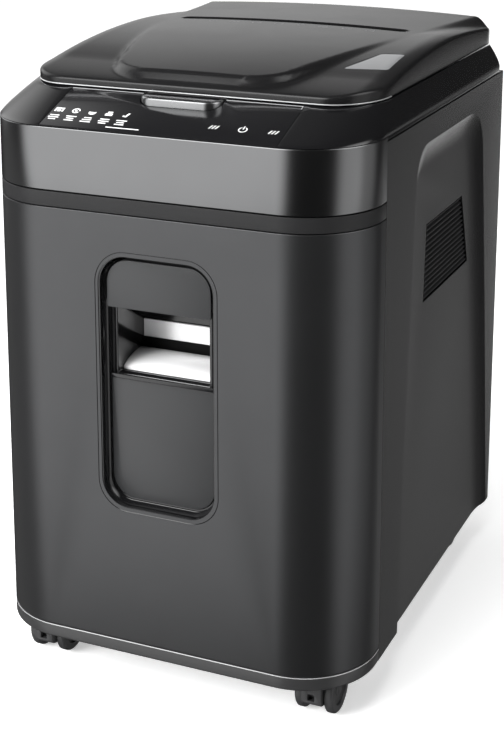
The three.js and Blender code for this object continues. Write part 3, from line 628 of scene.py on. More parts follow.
def pictogram(index, x, y):
    """A small generic sign, another one for each index."""
    if index == 0:
        return [bar(x - 4, x + 4, y + 4.2, y + 5.8), bar(x - 4, x - 2.6, y, y + 4.2),
                bar(x + 2.6, x + 4, y, y + 4.2), bar(x - 1.6, x + 1.6, y, y + 3.0)]
    if index == 1:
        return ring_marks(x, y + 3, 3.6, 1.1, 0, 330) + [bar(x - 1.0, x + 1.0, y + 2, y + 4)]
    if index == 2:
        return ring_marks(x, y + 2.6, 3.4, 1.2, -200, 20) + [bar(x - 2.4, x + 2.4, y + 1.0, y + 3.2)]
    if index == 3:
        return [bar(x - 3.2, x + 3.2, y, y + 3.4), bar(x - 2.2, x + 2.2, y + 4.4, y + 6)]
    return [bar(x - 0.8, x + 1.0, y, y + 5.8, 1.6), bar(x - 2.6, x - 0.9, y + 0.4, y + 2.0)]


def latch():
    """A tab with a rolled bright face and a flat dark top."""
    front = -172.5
    foot = box_mm("latch_tab")[0].z + 3
    rings = []
    for z, grow in ((foot, -1.0), (519.2, -0.4), (521, 0), (526.5, 0), (528.4, -0.5), (529.1, -1.6)):
        rings.append([(x, max(y, front), z) for x, y in latch_outline(grow)])
    body = loft("latch_tab", rings)
    boolean(body, [block("under", (-30, 30), (-167, -140), (500, 525))])
    soften(body, 0.4, 2, 40)
    piece(body, "latch", LATCH, ["latch_tab"])


def latch_cap():
    """The dark plate on top of the latch."""
    plate = prism("latch_cap", rounded(-32.5, 32.5, -169.5, -153.4, 10, 1, steps=8), "xy", 528.9, 529.25)
    piece(plate, "latch", OVERLAY)


# ---------------- lid
def lid_edge_height(y):
    """Height of the lid's top edge above the side wall."""
    if y > 70:
        return 554.2 - 9.2 * ((y - 70) / 141) ** 1.6
    if y > -100:
        return 554.2 - 13.5 * ((70 - y) / 170) ** 2.1
    return mix(532.9, 540.7, clamp((y + 154) / 54) ** 0.75)


def lid_crest_height(y):
    """Height of the raised middle along the lid's centre line."""
    return 559.8 - 14 * (clamp(60 - y, 0, 214) / 214) ** 2.2


def plateau_half_width(y):
    """Half width of the raised middle, which flares towards the rear."""
    return 62 + 88 * (clamp(y + 150, 0, 361) / 361) ** 0.62


def plateau_distance(x, y):
    """How far a plan point is inside the raised middle's rim, with rounded front corners."""
    side = plateau_half_width(y) - abs(x)
    front = y + 146
    radius = 26
    if side < radius and front < radius:
        return radius - math.hypot(radius - side, radius - front)
    return min(side, front)


def lid_top(x, y):
    """Height of the lid's top before its edges are rounded."""
    inward = clamp((LID_HALF_WIDTH - abs(x)) / 16)
    skirt = lid_edge_height(y) + mix(4, 2, clamp((y + 60) / 200)) * (1 - (1 - inward) ** 2)
    raised = max(lid_crest_height(y) - 4.2 * (x / 150) ** 2, skirt)
    slope = mix(8, 15, clamp(y / 190))
    return mix(skirt, raised, ease(plateau_distance(x, y) / slope + 0.5))


def lid_half_width(y, inset=0.0):
    """Half width of the lid's plan at a depth: elliptic front corners and small rear ones."""
    front = clamp((LID_Y[0] + LID_CORNER[1] - y) / (LID_CORNER[1] - inset))
    rear = clamp((y - LID_Y[1] + LID_REAR_RADIUS) / (LID_REAR_RADIUS - inset))
    front_cut = (LID_CORNER[0] - inset) * (1 - math.sqrt(1 - front ** 2))
    rear_cut = (LID_REAR_RADIUS - inset) * (1 - math.sqrt(1 - rear ** 2))
    return LID_HALF_WIDTH - inset - front_cut - rear_cut


def lid_rim_distance(x, y):
    """Distance from a plan point to the lid's outline, near enough for a small edge radius."""
    front, rear, side = y - LID_Y[0], LID_Y[1] - y, LID_HALF_WIDTH - abs(x)
    ax, ay = LID_CORNER
    if front < ay and side < ax:
        u, v = (ax - side) / ax, (ay - front) / ay
        reach = math.hypot(u, v)
        slope = math.hypot(u / ax, v / ay) / max(reach, 1e-6)
        return (1 - reach) / max(slope, 1e-6)
    if rear < LID_REAR_RADIUS and side < LID_REAR_RADIUS:
        return LID_REAR_RADIUS - math.hypot(LID_REAR_RADIUS - side, LID_REAR_RADIUS - rear)
    return min(front, rear, side)


def slot_distance(x, y):
    """Distance outside the feed slot's mouth."""
    middle, half = (SLOT_Y[0] + SLOT_Y[1]) / 2, (SLOT_Y[1] - SLOT_Y[0]) / 2
    reach = max(abs(x) - (SLOT_HALF_LENGTH - half), 0)
    return math.hypot(reach, y - middle) - half


def edge_drop(distance, radius):
    """How far a rounded edge falls at a distance from its outline."""
    if distance >= radius:
        return 0.0
    return radius - math.sqrt(max(radius ** 2 - (radius - max(distance, 0)) ** 2, 0))


RIM_STEPS = (0, 0.25, 0.8, 1.6, 2.6, 4.2, 6.5)  # insets of the grid's rows near the rim


def lid_surface(x, y):
    """Height of the lid's top with its rim and its slot's lip rounded."""
    return lid_top(x, y) - edge_drop(lid_rim_distance(x, y), 2.6) - edge_drop(slot_distance(x, y), 0.7)


def lid_grid(inset, drop, surface):
    """Rows of points over the lid's plan, close together along its rim and round the slot."""
    y0, y1 = LID_Y[0] + inset, LID_Y[1] - inset
    rim = RIM_STEPS[-1]
    rows = [y0 + d for d in RIM_STEPS] + [y1 - d for d in RIM_STEPS]
    rows += [y0 + rim + (50 - rim) * i / 16 for i in range(1, 17)]
    near_slot = [SLOT_Y[0] - 3 + 0.75 * i for i in range(int((SLOT_Y[1] - SLOT_Y[0] + 6) / 0.75) + 1)]
    rows += [y for y in (mix(y0 + 50, y1 - rim, i / 44) for i in range(1, 44))
             if y < SLOT_Y[0] - 5 or y > SLOT_Y[1] + 5]
    share = [i / 56 for i in range(-56, 57)]
    points = []
    for y in sorted(rows + near_slot):
        half = lid_half_width(y, inset)
        xs = [-half + d for d in RIM_STEPS[:-1]] + [(half - rim) * u for u in share]
        xs += [half - d for d in reversed(RIM_STEPS[:-1])]
        points.append([(x, y, surface(x, y) - drop) for x in xs])
    return points


def grid_border(rows):
    """The indices of a grid's border, in order round it."""
    count, width = len(rows), len(rows[0])
    front = [(0, i) for i in range(width)]
    right = [(j, width - 1) for j in range(1, count)]
    rear = [(count - 1, i) for i in range(width - 2, -1, -1)]
    left = [(j, 0) for j in range(count - 2, 0, -1)]
    return front + right + rear + left


def lid_body(name):
    """The hollow lid: its top, its skirt wall with a rounded foot, and its inside."""
    outer = lid_grid(0, 0, lid_surface)
    inner = lid_grid(LID_WALL, LID_WALL, lid_top)
    width = len(outer[0])
    layer = width * len(outer)
    points = [p for row in outer for p in row] + [p for row in inner for p in row]
    faces = []
    for base, flip in ((0, False), (layer, True)):
        for j in range(len(outer) - 1):
            for i in range(width - 1):
                a = base + j * width + i
                face = (a, a + 1, a + 1 + width, a + width)
                faces.append(tuple(reversed(face)) if flip else face)
    border = grid_border(outer)
    rings = [[j * width + i for j, i in border]]
    for level, inset in ((LID_Z + 1.0, 0.0), (LID_Z + 0.3, 0.3), (LID_Z, 1.0), (LID_Z, LID_WALL)):
        ring = []
        for j, i in border:
            (x0, y0, _), (x1, y1, _) = outer[j][i], inner[j][i]
            t = inset / LID_WALL
            ring.append(len(points))
            points.append((mix(x0, x1, t), mix(y0, y1, t), level))
        rings.append(ring)
    rings.append([layer + j * width + i for j, i in border])
    for lower, upper in zip(rings[1:], rings[:-1]):
        for k in range(len(border)):
            m = (k + 1) % len(border)
            faces.append((upper[k], upper[m], lower[m], lower[k]))
    return new_object(name, points, faces)


WINDOW = [(109.5, -80.5), (147.5, -75.5), (146.5, -25.5), (126.5, -28)]


def window_outline(grow):
    """The lid window's outline with small rounded corners."""
    radius = 4.0
    cx = sum(x for x, _ in WINDOW) / 4
    cy = sum(y for _, y in WINDOW) / 4
    corners = [Vector((x + math.copysign(grow, x - cx), y + math.copysign(grow, y - cy))) for x, y in WINDOW]
    points = []
    for k, corner in enumerate(corners):
        before, after = corners[k - 1], corners[(k + 1) % 4]
        a = corner + (before - corner).normalized() * radius
        b = corner + (after - corner).normalized() * radius
        points += bezier(a, a.lerp(corner, 0.6), b.lerp(corner, 0.6), b, 5)
    return points


def lid_shell():
    """The lid with its slot and chute, its window opening, and the lugs on the hinge pins."""
    start, hinge_y, hinge_z = hinge_axis()
    reach = SLOT_HALF_LENGTH + 1.6
    body = lid_body("lid_shell")
    chute = prism("chute", rounded(-reach, reach, SLOT_Y[0] - 1.6, SLOT_Y[1] + 1.6, 8.5), "xy", 538.5, 553.5)
    slot = prism("slot", rounded(-SLOT_HALF_LENGTH, SLOT_HALF_LENGTH, *SLOT_Y, SLOT_RADIUS), "xy", 500, 600)
    window = prism("window", window_outline(0), "xy", 500, 600)
    rooms = []
    for sign in (-1, 1):
        x = sorted((sign * (start - 2), sign * (start + 15.5)))
        rooms.append(block("room", x, (hinge_y - 8, 240), (520, hinge_z + 10)))
    boolean(body, [chute], "UNION")
    boolean(body, [slot, window] + rooms)
    for sign in (-1, 1):
        x0, x1 = sorted((sign * (start + 16), sign * (start + 24)))
        profile = [(hinge_y + 3, 552), (hinge_y - 6, 552)] + arc(hinge_y, hinge_z, 6, 6, 180, 360, 16)
        lug = prism("lug", profile, "yz", x0, x1)
        boolean(body, [lug], "UNION")
        boolean(body, [prism("bore", circle(hinge_y, hinge_z, 3.4, 24), "yz", x0 - 4, x1 + 1)])
    piece(body, "lid", LID, ["lid_shell"], smooth=38)


def lid_highlight_bead():
    """A light grey bead round the lower edge of the lid's front: a painted highlight."""
    section = ((-0.3, 530.7), (0.3, 530.8), (0.45, 531.2), (0.3, 531.6), (-0.3, 531.7))
    stations = [LID_Y[0] + LID_CORNER[1] * (1 - math.cos(math.radians(a))) for a in range(0, 91, 6)]
    right = [(lid_half_width(y), y) for y in stations]
    path = [(-x, y) for x, y in reversed(right)] + [(x, LID_Y[0]) for x in (-60, 0, 60)] + right
    rings = []
    for x, y in path:
        out = Vector((x, y + 90)).normalized()
        rings.append([(x + out.x * d, y + out.y * d, z) for d, z in section])
    piece(loft("lid_highlight_bead", rings), "lid", HIGHLIGHT_GREY)


def slot_throat():
    """A near-black lining inside the feed slot: painted shade."""
    def wall(inset, low, drop):
        half, radius = SLOT_HALF_LENGTH - inset, SLOT_RADIUS - inset
        outline = rounded(-half, half, SLOT_Y[0] + inset, SLOT_Y[1] - inset, radius)
        top = [(x, y, lid_top(x, y) - drop) for x, y in outline]
        return loft("slot_throat", [[(x, y, low) for x, y in outline], top])

    lining = boolean(wall(0.1, 539.5, 0.8), [wall(0.7, 538, -3)])
    piece(lining, "lid", SHADE_BLACK)


def surface_pane(name, outline, above, below):
    """A pane that follows the lid's surface inside an outline, by rings drawn in to its middle."""
    cx = sum(p[0] for p in outline) / len(outline)
    cy = sum(p[1] for p in outline) / len(outline)
    rings = []
    shares = [i / 10 for i in range(1, 11)]
    for share in shares:
        ring = [(mix(cx, x, share), mix(cy, y, share)) for x, y in outline]
        rings.append([(x, y, lid_top(x, y) + above - (0.3 if share == 1 else 0)) for x, y in ring])
    for share in reversed(shares):
        ring = [(mix(cx, x, share), mix(cy, y, share)) for x, y in outline]
        rings.append([(x, y, lid_top(x, y) - below) for x, y in ring])
    return loft(name, rings)


def lid_window():
    pane = surface_pane("lid_window", window_outline(-0.35), -0.1, LID_WALL)
    piece(pane, "lid", FROSTED, ["lid_window"])


def lid_icons():
    """Faint generic signs in front of the feed slot."""
    parts = []
    for index in range(9):
        x = -96 + 22.5 * index
        for shape in lid_icon(index):
            outline = [(x + a, 60.5 + b) for a, b in shape]
            rings = [[(px, py, lid_top(px, py) + lift) for px, py in outline] for lift in (-0.05, 0.06)]
            parts.append(loft("icon", rings))
    piece(join("lid_icons", parts), "lid", FAINT)


def lid_icon(index):
    """A line-drawn sign: a sheet, a card, a disc, a clip or a clock."""
    kind = index % 4
    if kind == 0:
        return [bar(-4, 4, -3, -2.4), bar(-4, 4, 2.4, 3), bar(-4, -3.4, -2.4, 2.4), bar(3.4, 4, -2.4, 2.4)]
    if kind == 1:
        return ring_marks(0, 0, 3.6, 0.7, 0, 340) + [bar(-0.4, 0.4, 0, 2.6)]
    if kind == 2:
        return [bar(-5, 5, -0.4, 0.4), bar(-5, 5, 1.6, 2.4), bar(-5, 5, -2.4, -1.6)]
    return ring_marks(-2, 0, 2.6, 0.7, 20, 340) + ring_marks(3, 0, 2.0, 0.7, 20, 340)


def lid_liner():
    """The ribbed plate under the lid's top, open round the slot."""
    outline = rounded(-146, 146, 46, 196, 6)
    plate = prism("lid_liner", outline, "xy", 535.5, 537.3)
    slot = prism("slot", rounded(-118, 118, 66, 92, 8), "xy", 500, 600)
    rooms = [block("room", sorted((sign * 94, sign * 126)), (190, 220), (500, 600)) for sign in (-1, 1)]
    ribs = [block("rib", (x - 1, x + 1), (52, 64), (532.5, 536)) for x in (-120, -80, -40, 0, 40, 80, 120)]
    boolean(plate, [slot] + rooms)
    boolean(plate, ribs, "UNION")
    piece(soften(plate, 0.4, 1, 40), "lid", INNER, ["lid_liner"])


def pressure_plate():
    """The sprung plate under the lid: two guide posts above it and two ribs."""
    low, high = box_mm("pressure_plate")
    plate = prism("pressure_plate", rounded(low.x, high.x, low.y, high.y, 8), "xy", low.z, low.z + 2)
    post = [(4.6, low.z + 1.5), (4.2, low.z + 3.5), (4, low.z + 4), (4, high.z)]
    posts = [lathe("post", post, (x, -30, 0), "z", 32) for x in (-40, 40)]
    ribs = []
    for y in (-70, 10):
        ribs.append(block("rib", (low.x + 8, high.x - 8), (y - 1, y + 1), (low.z + 1.5, low.z + 4)))
    boolean(plate, posts + ribs, "UNION")
    piece(soften(plate, 0.4, 1, 40), "pressure_plate", INNER, ["pressure_plate"])


def hinge_pin(side):
    low, high = box_mm(f"hinge_pin_{side}")
    radius = (high.z - low.z) / 2
    steps = [(radius - 0.5, low.x), (radius, low.x + 0.5), (radius, high.x - 0.5), (radius - 0.5, high.x)]
    pin = lathe(f"hinge_pin_{side}", steps, (0, (low.y + high.y) / 2, (low.z + high.z) / 2), "x", 32)
    piece(pin, "cabinet", STEEL, [f"hinge_pin_{side}"])


# ---------------- bin
BEZEL_FRAME = (-57, 57, 177.5, 409, 28, 29)


def bezel_loop(inset, depth):
    """The bezel's outline moved in and back."""
    a0, a1, b0, b1, low, high = BEZEL_FRAME
    outline = rounded(a0 + inset, a1 - inset, b0 + inset, b1 - inset, low - inset, high - inset, steps=14)
    return [(x, -HALF_DEPTH + depth, z) for x, z in outline]


def bin_bezel():
    """A glossy frame whose inner wall slopes back to the recessed plates in two small steps."""
    face = [(0.0, 0.0), (0.1, -0.2), (0.4, -0.3), (0.9, 0.1), (2.6, 2.6), (4.6, 6.2), (6.2, 10.6)]
    lip = [(7.0, 11.2), (7.2, 12.4), (8.2, 12.8), (8.5, 13.6), (8.5, 15.2)]
    back = [(4.6, 15.2), (4.4, 0.9), (0.2, 0.6)]
    rings = [bezel_loop(inset, depth) for inset, depth in face + lip + back]
    body = leaned(loft("bin_bezel", rings, caps=False))
    piece(body, "bin", GLOSS, ["bin_bezel"], smooth=40)


PLATE_HALF_WIDTH = 48.3
PLATE_BACK_Y = -204.8


def bin_upper_plate():
    outline = rounded(-PLATE_HALF_WIDTH, PLATE_HALF_WIDTH, 358.6, 400.4, 2, 20.2)
    plate = prism("bin_upper_plate", outline, "xz", -213.2, -210.6)
    piece(leaned(soften(plate, 0.5, 2, 40)), "bin", SMOKED, ["bin_upper_plate"])


def pull_pocket():
    """The finger recess behind the bezel, open to the front."""
    shell = block("bin_pull_pocket", (-46, 46), (-204.6, -152), (295, 362))
    room = prism("room", rounded(-43, 43, 298, 359, 1.5), "xz", -230, -155)
    boolean(shell, [room])
    piece(leaned(soften(shell, 0.5, 2, 40)), "bin", GLOSS, ["bin_pull_pocket"])


def pull_insert():
    """The white lining, its near-white colour partly a painted reflection: an upright strip at the back and
    a rolled ledge in front, with a groove between.
    """
    back, lip, foot = -155.3, -196, 298.4
    ledge = bezier((lip, 300.2), (lip + 1.2, 304.2), (lip + 13, 307.6), (-163.5, 308.4), 12)
    profile = ([(lip, foot)] + ledge + [(-161.5, 307.6), (-160.5, 305.2), (-157.5, 305.2)]
               + [(-157.5, 331.6), (back, 332), (back, foot)])
    body = prism("bin_pull_insert", profile, "yz", -42.7, 42.7)
    piece(leaned(soften(body, 0.4, 2, 50)), "bin", WHITE_INSERT_AND_REFLECTION, ["bin_pull_insert"])


def pull_groove():
    """A near-black block in the groove between the bright strip and the ledge: painted shade."""
    body = block("pull_groove", (-42.6, 42.6), (-158.6, -157.6), (305.4, 316))
    piece(leaned(soften(body, 0.2, 1, 50)), "bin", SHADE_BLACK)


def bin_window():
    outline = rounded(-PLATE_HALF_WIDTH, PLATE_HALF_WIDTH, 186.2, 294.2, 20.2, 2)
    pane = prism("bin_window", outline, "xz", -207.2, PLATE_BACK_Y)
    piece(leaned(soften(pane, 0.5, 2, 40)), "bin", SMOKED, ["bin_window"])


def bin_lip():
    """The dark lip between the pull and the window below it."""
    outline = rounded(-PLATE_HALF_WIDTH, PLATE_HALF_WIDTH, 294.6, 298.2, 1)
    body = prism("bin_pull_lip", outline, "xz", -208.6, PLATE_BACK_Y)
    piece(leaned(soften(body, 0.4, 2, 50)), "bin", GLOSS)


def bin_bucket():
    """The bucket with its rolled rim, open to the window and the finger recess in front."""
    def ring(inset, z):
        outline = rounded(-150 + inset, 150 - inset, -204 + inset, 170 - inset, 58 - inset, 8 - inset * 0.6,
                          steps=12)
        return [lean((x, y, z)) for x, y in outline]

    outside = [(3, 57), (0.8, 58), (0, 60), (0, 430.6), (0.5, 431.6), (1.3, 432)]
    inside = [(2.0, 431.6), (2.5, 430.6), (2.5, 61.5), (3.4, 60), (5, 59.5)]
    body = loft("bin_bucket", [ring(inset, z) for inset, z in outside + inside])
    pocket = block("pocket", (-46.6, 46.6), (-230, -180), (294.4, 362.6))
    window = block("window", (-40, 40), (-230, -180), (200, 284))
    frame_room = prism("frame_room", rounded(-53, 53, 181.4, 405.1, 25), "xz", -230, -204.4)
    boolean(body, [leaned(pocket), leaned(window), leaned(frame_room)])
    piece(body, "bin", INNER, ["bin_bucket"])


# ---------------- cutting head and tray
SHAFT_Z = 478
CUTTER_Y = (61, 95)
FEED_OFFSET = (8, 30.98)


def shaft_ring(x, y, z, segments, reach):
    """A closed ring about an X axis through (y, z); reach gives its radius at each step and angle."""
    angles = [2 * math.pi * i / segments for i in range(segments)]
    return [(x, y + reach(i, a) * math.cos(a), z + reach(i, a) * math.sin(a)) for i, a in enumerate(angles)]


def cutter_cylinder(place, index):
    """A core with ten notched cutting discs, and the shaft's ends."""
    segments, notches, half = 72, 8, 112
    pitch = 2 * half / 10
    width = pitch / 2 - 0.6
    shift = 0.3 if index == 0 else pitch / 2 + 0.3
    steps = [(5.4, -139, 0), (6, -138.4, 0), (6, -120, 0), (12, -120, 0)]
    for disc in range(10):
        x = -half + disc * pitch + shift
        turn = disc * 0.35
        steps += [(12, x, 0), (19.4, x, turn), (20, x + 0.5, turn), (20, x + width - 0.5, turn),
                  (19.4, x + width, turn), (12, x + width, 0)]
    steps += [(12, 120, 0), (6, 120, 0), (6, 129.4, 0), (5.4, 130, 0)]

    def notched(radius, turn):
        def reach(_, angle):
            phase = ((angle + turn) * notches / (2 * math.pi)) % 1
            return radius - (2.4 * clamp(1 - phase / 0.28) if radius > 13 else 0)
        return reach

    y = CUTTER_Y[index]
    rings = [shaft_ring(x, y, SHAFT_Z, segments, notched(radius, turn)) for radius, x, turn in steps]
    body = loft(f"cutter_{place}", rings)
    piece(body, f"cutter_{place}", CUTTER, [f"cutter_{place}"], smooth=25)


def feed_shaft(place, index):
    """A steel shaft with four ribbed rubber rollers: the shaft and the rollers are separate bodies."""
    y = CUTTER_Y[index] + (FEED_OFFSET[0] if index else -FEED_OFFSET[0])
    z = SHAFT_Z + FEED_OFFSET[1]
    ends = [(3.6, -139), (4, -138.6), (4, 129.6), (3.6, 130)]
    piece(lathe(f"feed_shaft_{place}", ends, (0, y, z), "x", 32), f"feed_{place}", STEEL)
    section = ((-11, 4.2, 0), (-11, 8.2, 0), (-10.4, 8.8, 1), (10.4, 8.8, 1), (11, 8.2, 0), (11, 4.2, 0))

    def ribbed(radius, ribs):
        return lambda step, _: radius + (0.2 if step % 4 < 2 else -0.5) * ribs

    tyres = []
    for x in (-88, -30, 30, 88):
        rings = [shaft_ring(x + along, y, z, 80, ribbed(radius, ribs)) for along, radius, ribs in section]
        tyres.append(loft("tyre", rings, caps=False))
    body = join(f"feed_roller_{place}", tyres)
    piece(body, f"feed_{place}", RUBBER, [f"feed_roller_{place}"], smooth=25)


def paper_tray():
    """The tray with its raised rim, an opening for the feed rollers, a finger notch and low ribs."""
    low, high = box_mm("paper_tray")

    def ring(inset, z):
        radius = max(6 - inset, 2)
        outline = rounded(low.x + inset, high.x - inset, low.y + inset, high.y - inset, radius, steps=8)
        return [(x, y, z) for x, y in outline]

    outside = [ring(1.2, low.z), ring(0, low.z + 1.2), ring(0, high.z - 0.6), ring(0.6, high.z)]
    inside = [ring(1.5, high.z), ring(2.0, high.z - 0.5), ring(2.0, low.z + 3.4), ring(3.4, low.z + 2)]
    body = loft("paper_tray", outside + inside)
    hole = prism("hole", rounded(-108, 108, 38, 118, 5), "xy", 500, 520)
    finger = prism("finger", rounded(-28, 28, low.y - 20, low.y + 26, 12), "xy", low.z + 3, high.z + 5)
    boolean(body, [hole, finger])
    rib_z = (low.z + 1.6, low.z + 2.15)
    ribs = [block("rib", (x - 0.8, x + 0.8), (-118, 30), rib_z) for x in range(-90, 100, 30)]
    boolean(body, ribs, "UNION")
    piece(body, "cabinet", INNER, ["paper_tray"], smooth=30)


def paper_guide():
    low, high = box_mm("paper_guide")
    fence = prism("paper_guide", rounded(-118, 20, low.z, high.z, 0.6, 3), "yz", high.x - 2, high.x)
    foot = block("foot", (low.x, high.x - 0.5), (-60, -20), (low.z, low.z + 1.5))
    grip = prism("grip", rounded(-52, -28, low.z, high.z - 1.2, 0.6, 2), "yz", high.x - 4.4, high.x - 2.6)
    boolean(fence, [foot, grip], "UNION")
    piece(soften(fence, 0.3, 2, 40), "paper_guide", CASE, ["paper_guide"])


def mechanism_deck():
    low, high = box_mm("mechanism_deck")
    plate = prism("mechanism_deck", rounded(low.x, high.x, low.y, high.y, 6), "xy", low.z, high.z)
    boolean(plate, [prism("hole", rounded(-113, 113, 40, 116, 4), "xy", 440, 460)])
    piece(soften(plate, 0.4, 1, 40), "cabinet", STEEL, ["mechanism_deck"])


def motor_can():
    low, high = box_mm("motor_can")
    y, z = -8, SHAFT_Z
    steps = [(24.5, low.x), (26, low.x + 1.5), (26, low.x + 20), (25.4, low.x + 21), (25.4, -28), (26, -27),
             (26, -8), (24, -6), (12, -6), (12, 5), (11, high.x)]
    can = lathe("motor_can", steps, (0, y, z), "x", 64)
    foot = block("foot", (-100, -30), (y - 22, y + 22), (449.3, 462))
    boolean(can, [foot], "UNION")
    boolean(can, [prism("bore", circle(y, z, 5, 32), "yz", -150, -8)])
    piece(can, "cabinet", STEEL, ["motor_can"])


# ---------------- rear and electrics
SCREW_X = (-138, 138)
SCREW_Z = 490
SOCKET_Y = (198, 216.4)
SOCKET_Z = (78.4, 101.6)
ROCKER_PIVOT = (206, 90)


def rear_cover():
    """The rear wall: a shallow recess, air slots, and openings for the inlet, the switch and the screws."""
    through = (200, 230)
    outline = rounded(-149.4, 149.4, SIDE_Z[0], SIDE_Z[1], 1.5)
    body = prism("rear_cover", outline, "xz", HALF_DEPTH - 3, HALF_DEPTH)
    cutters = [block("inlet", (-40, -10), through, (78, 102)), block("switch", (6, 28), through, (78, 102))]
    for z in range(410, 474, 8):
        cutters.append(prism("slot", rounded(-60, 60, z, z + 3, 1.45), "xz", *through))
    cutters += [prism("screw", circle(x, SCREW_Z, 4.5, 32), "xz", *through) for x in SCREW_X]
    boolean(body, cutters)
    panel = prism("recess", rounded(-112, 112, 150, 380, 10), "xz", HALF_DEPTH - 0.9, HALF_DEPTH + 4)
    boolean(body, [panel])
    piece(leaned(soften(body, 0.4, 2, 32)), "cabinet", CASE, ["rear_cover"])


def rear_screw(index, x):
    """A cross-head screw, turned to face the rear."""
    profile = [(2.1, -10), (2.1, -2.6), (4.2, -2.4), (4.2, -0.9), (3.6, -0.3), (2.0, 0)]
    head = lathe(f"rear_screw_{index}", profile, (0, 0, 0), "z", 40)
    boolean(head, [block("cross", (-2.2, 2.2), (-0.45, 0.45), (-1.2, 1)),
                   block("cross", (-0.45, 0.45), (-2.2, 2.2), (-1.2, 1))])
    for vertex in head.data.vertices:
        px, py, pz = vertex.co
        vertex.co = Vector((x * MM + px, HALF_DEPTH * MM + pz, SCREW_Z * MM - py))
    piece(leaned(head), "cabinet", STEEL, [f"rear_screw_{index}"])


def electric_socket(name, x, cavity, pins):
    """A flanged socket body set in the rear cover."""
    body = block(name, x, SOCKET_Y, SOCKET_Z)
    boolean(body, [prism("cavity", rounded(*cavity, 0.8), "xz", 202, 230)])
    soften(body, 0.5, 2, 40)
    contacts = [block("pin", (px - 1, px + 1), (202, 212), (pz - 2.4, pz + 2.4)) for px, pz in pins]
    piece(leaned(body), "cabinet", INNER, [name])
    if contacts:
        piece(leaned(join(f"{name}_pins", contacts)), "cabinet", STEEL)


def switch_rocker():
    """The rocker: a round back about its pivot and a face that is pressed in at one end."""
    y, z = ROCKER_PIVOT
    profile = arc(y, z, 3, 3, 120, 240, 8) + bezier((y, 83.2), (211, 83.0), (215.2, 82.8), (215.4, 83.6), 6)
    profile += bezier((214.6, 85), (213.2, 88), (212.9, 91), (213.5, 96.4), 8) + [(y, 96.9)]
    body = prism("switch_rocker", profile, "yz", 9.6, 24.4)
    piece(leaned(soften(body, 0.4, 2, 40)), "rocker", GLOSS, ["switch_rocker"])


# ---------------- base and casters
def base_pan():
    """The floor plate with its side rails, and the holes of the caster stems."""
    half, rear = 163, 211.5
    plate = prism("base_pan", rounded(-half, half, -205, rear, 40, 4), "xy", 46.5, 50)
    rails = prism("rails", rounded(-half, half, -147, rear, 2, 4), "xy", SKIRT_Z + 0.6, BASE_TOP_Z)
    boolean(rails, [prism("room", rounded(-159, 159, -160, 207.5, 2, 4), "xy", 0, 100)])
    boolean(plate, [rails], "UNION")
    holes = [prism("hole", circle(x, y, 5.4, 32), "xy", 0, 100) for _, x, y in CASTERS]
    ribs = [block("rib", (-120, 120), (y - 1, y + 1), (43.5, 47)) for y in (-90, -30, 30, 90)]
    boolean(plate, ribs, "UNION")
    boolean(plate, holes)
    piece(leaned(soften(plate, 0.4, 1, 40)), "cabinet", INNER, ["base_tray"])


CASTER_X = 132
CASTER_Y = {"front": -174, "rear": 168}
CASTERS = [(f"{end}_{side}", sign * CASTER_X, y) for end, y in CASTER_Y.items()
           for side, sign in (("left", -1), ("right", 1))]
WHEEL_TRAIL = 6
WHEEL_Z = 22
WHEEL_RADIUS = 22


def moved(obj, x, y):
    """A caster piece, made about its stem, at the stem's place."""
    for vertex in obj.data.vertices:
        vertex.co += Vector((x, y, 0)) * MM
    return obj


def caster_hood(place, x, y):
    """The hood between the wheels, with its stem, the axle's bore and a small recess in front."""
    top = 46.1
    profile = [(-21, top)] + bezier((-21, 19), (-20.5, 14.5), (-10, 12.4), (WHEEL_TRAIL - 2, 12.4), 8)
    profile += arc(WHEEL_TRAIL, WHEEL_Z, 9.5, 9.5, -80, 45, 12)
    profile += bezier((16, 32), (16.5, 38), (15, 44), (13.5, top), 6)
    hood = prism("hood", profile, "yz", -9, 9)
    shell = [prism("cheek", arc(WHEEL_TRAIL, WHEEL_Z, 10.5, 10.5, 0, 350, 35), "yz", -9.3, 9.3)]
    boolean(hood, shell, "UNION")
    socket = prism("socket", rounded(-3.2, 3.2, 20.3, 26.7, 0.8), "xz", -30, -15)
    bore = prism("bore", circle(WHEEL_TRAIL, WHEEL_Z, 3.4, 32), "yz", -20, 20)
    boolean(hood, [socket, bore])
    soften(hood, 0.9, 2, 40)
    steps = [(8.4, 40), (8.6, 40.3), (8.6, top - 0.2), (4.6, top), (4.6, 51.5), (4.1, 52)]
    stem = lathe("stem", steps, (0, 0, 0), "z", 40)
    boolean(hood, [stem], "UNION")
    piece(moved(hood, x, y), f"caster_{place}", CASTER, [f"caster_{place}_hood"])


def caster_wheel(place, x, y, side):
    """A moulded wheel with a dished outer face, a soft tread and a hub cap. Wheel a carries the axle."""
    near, width, r = 9.6, 8.0, WHEEL_RADIUS
    far = near + width
    centre = (0, WHEEL_TRAIL, WHEEL_Z)
    tread = [(3.5, near), (19.6, near), (r - 1.2, near + 0.1), (r - 0.2, near + 1.0), (r, near + 2.2),
             (r, far - 2.4), (r - 0.3, far - 1.2), (r - 1.2, far - 0.3), (r - 2.4, far)]
    dish = [(15.2, far), (14.6, far - 0.5), (14.2, far - 1.7), (7.2, far - 2.0), (6.8, far - 1.4),
            (5.8, far - 0.9), (1.5, far - 0.8)]
    profile = tread + dish
    if side == "b":
        wheel = lathe("wheel", profile, centre, "x", 72)
        boolean(wheel, [prism("bore", circle(WHEEL_TRAIL, WHEEL_Z, 3.4, 32), "yz", 0, far - 2.3)])
    else:
        wheel = lathe("wheel", [(radius, -along) for radius, along in reversed(profile)], centre, "x", 72)
        axle = lathe("axle", [(3, -far + 2.5), (3, far - 2.7), (2.7, far - 2.4)], centre, "x", 32)
        boolean(wheel, [axle], "UNION")
    name = f"caster_{place}_wheel_{side}"
    piece(moved(wheel, x, y), f"wheel_{place}", CASTER, [name])


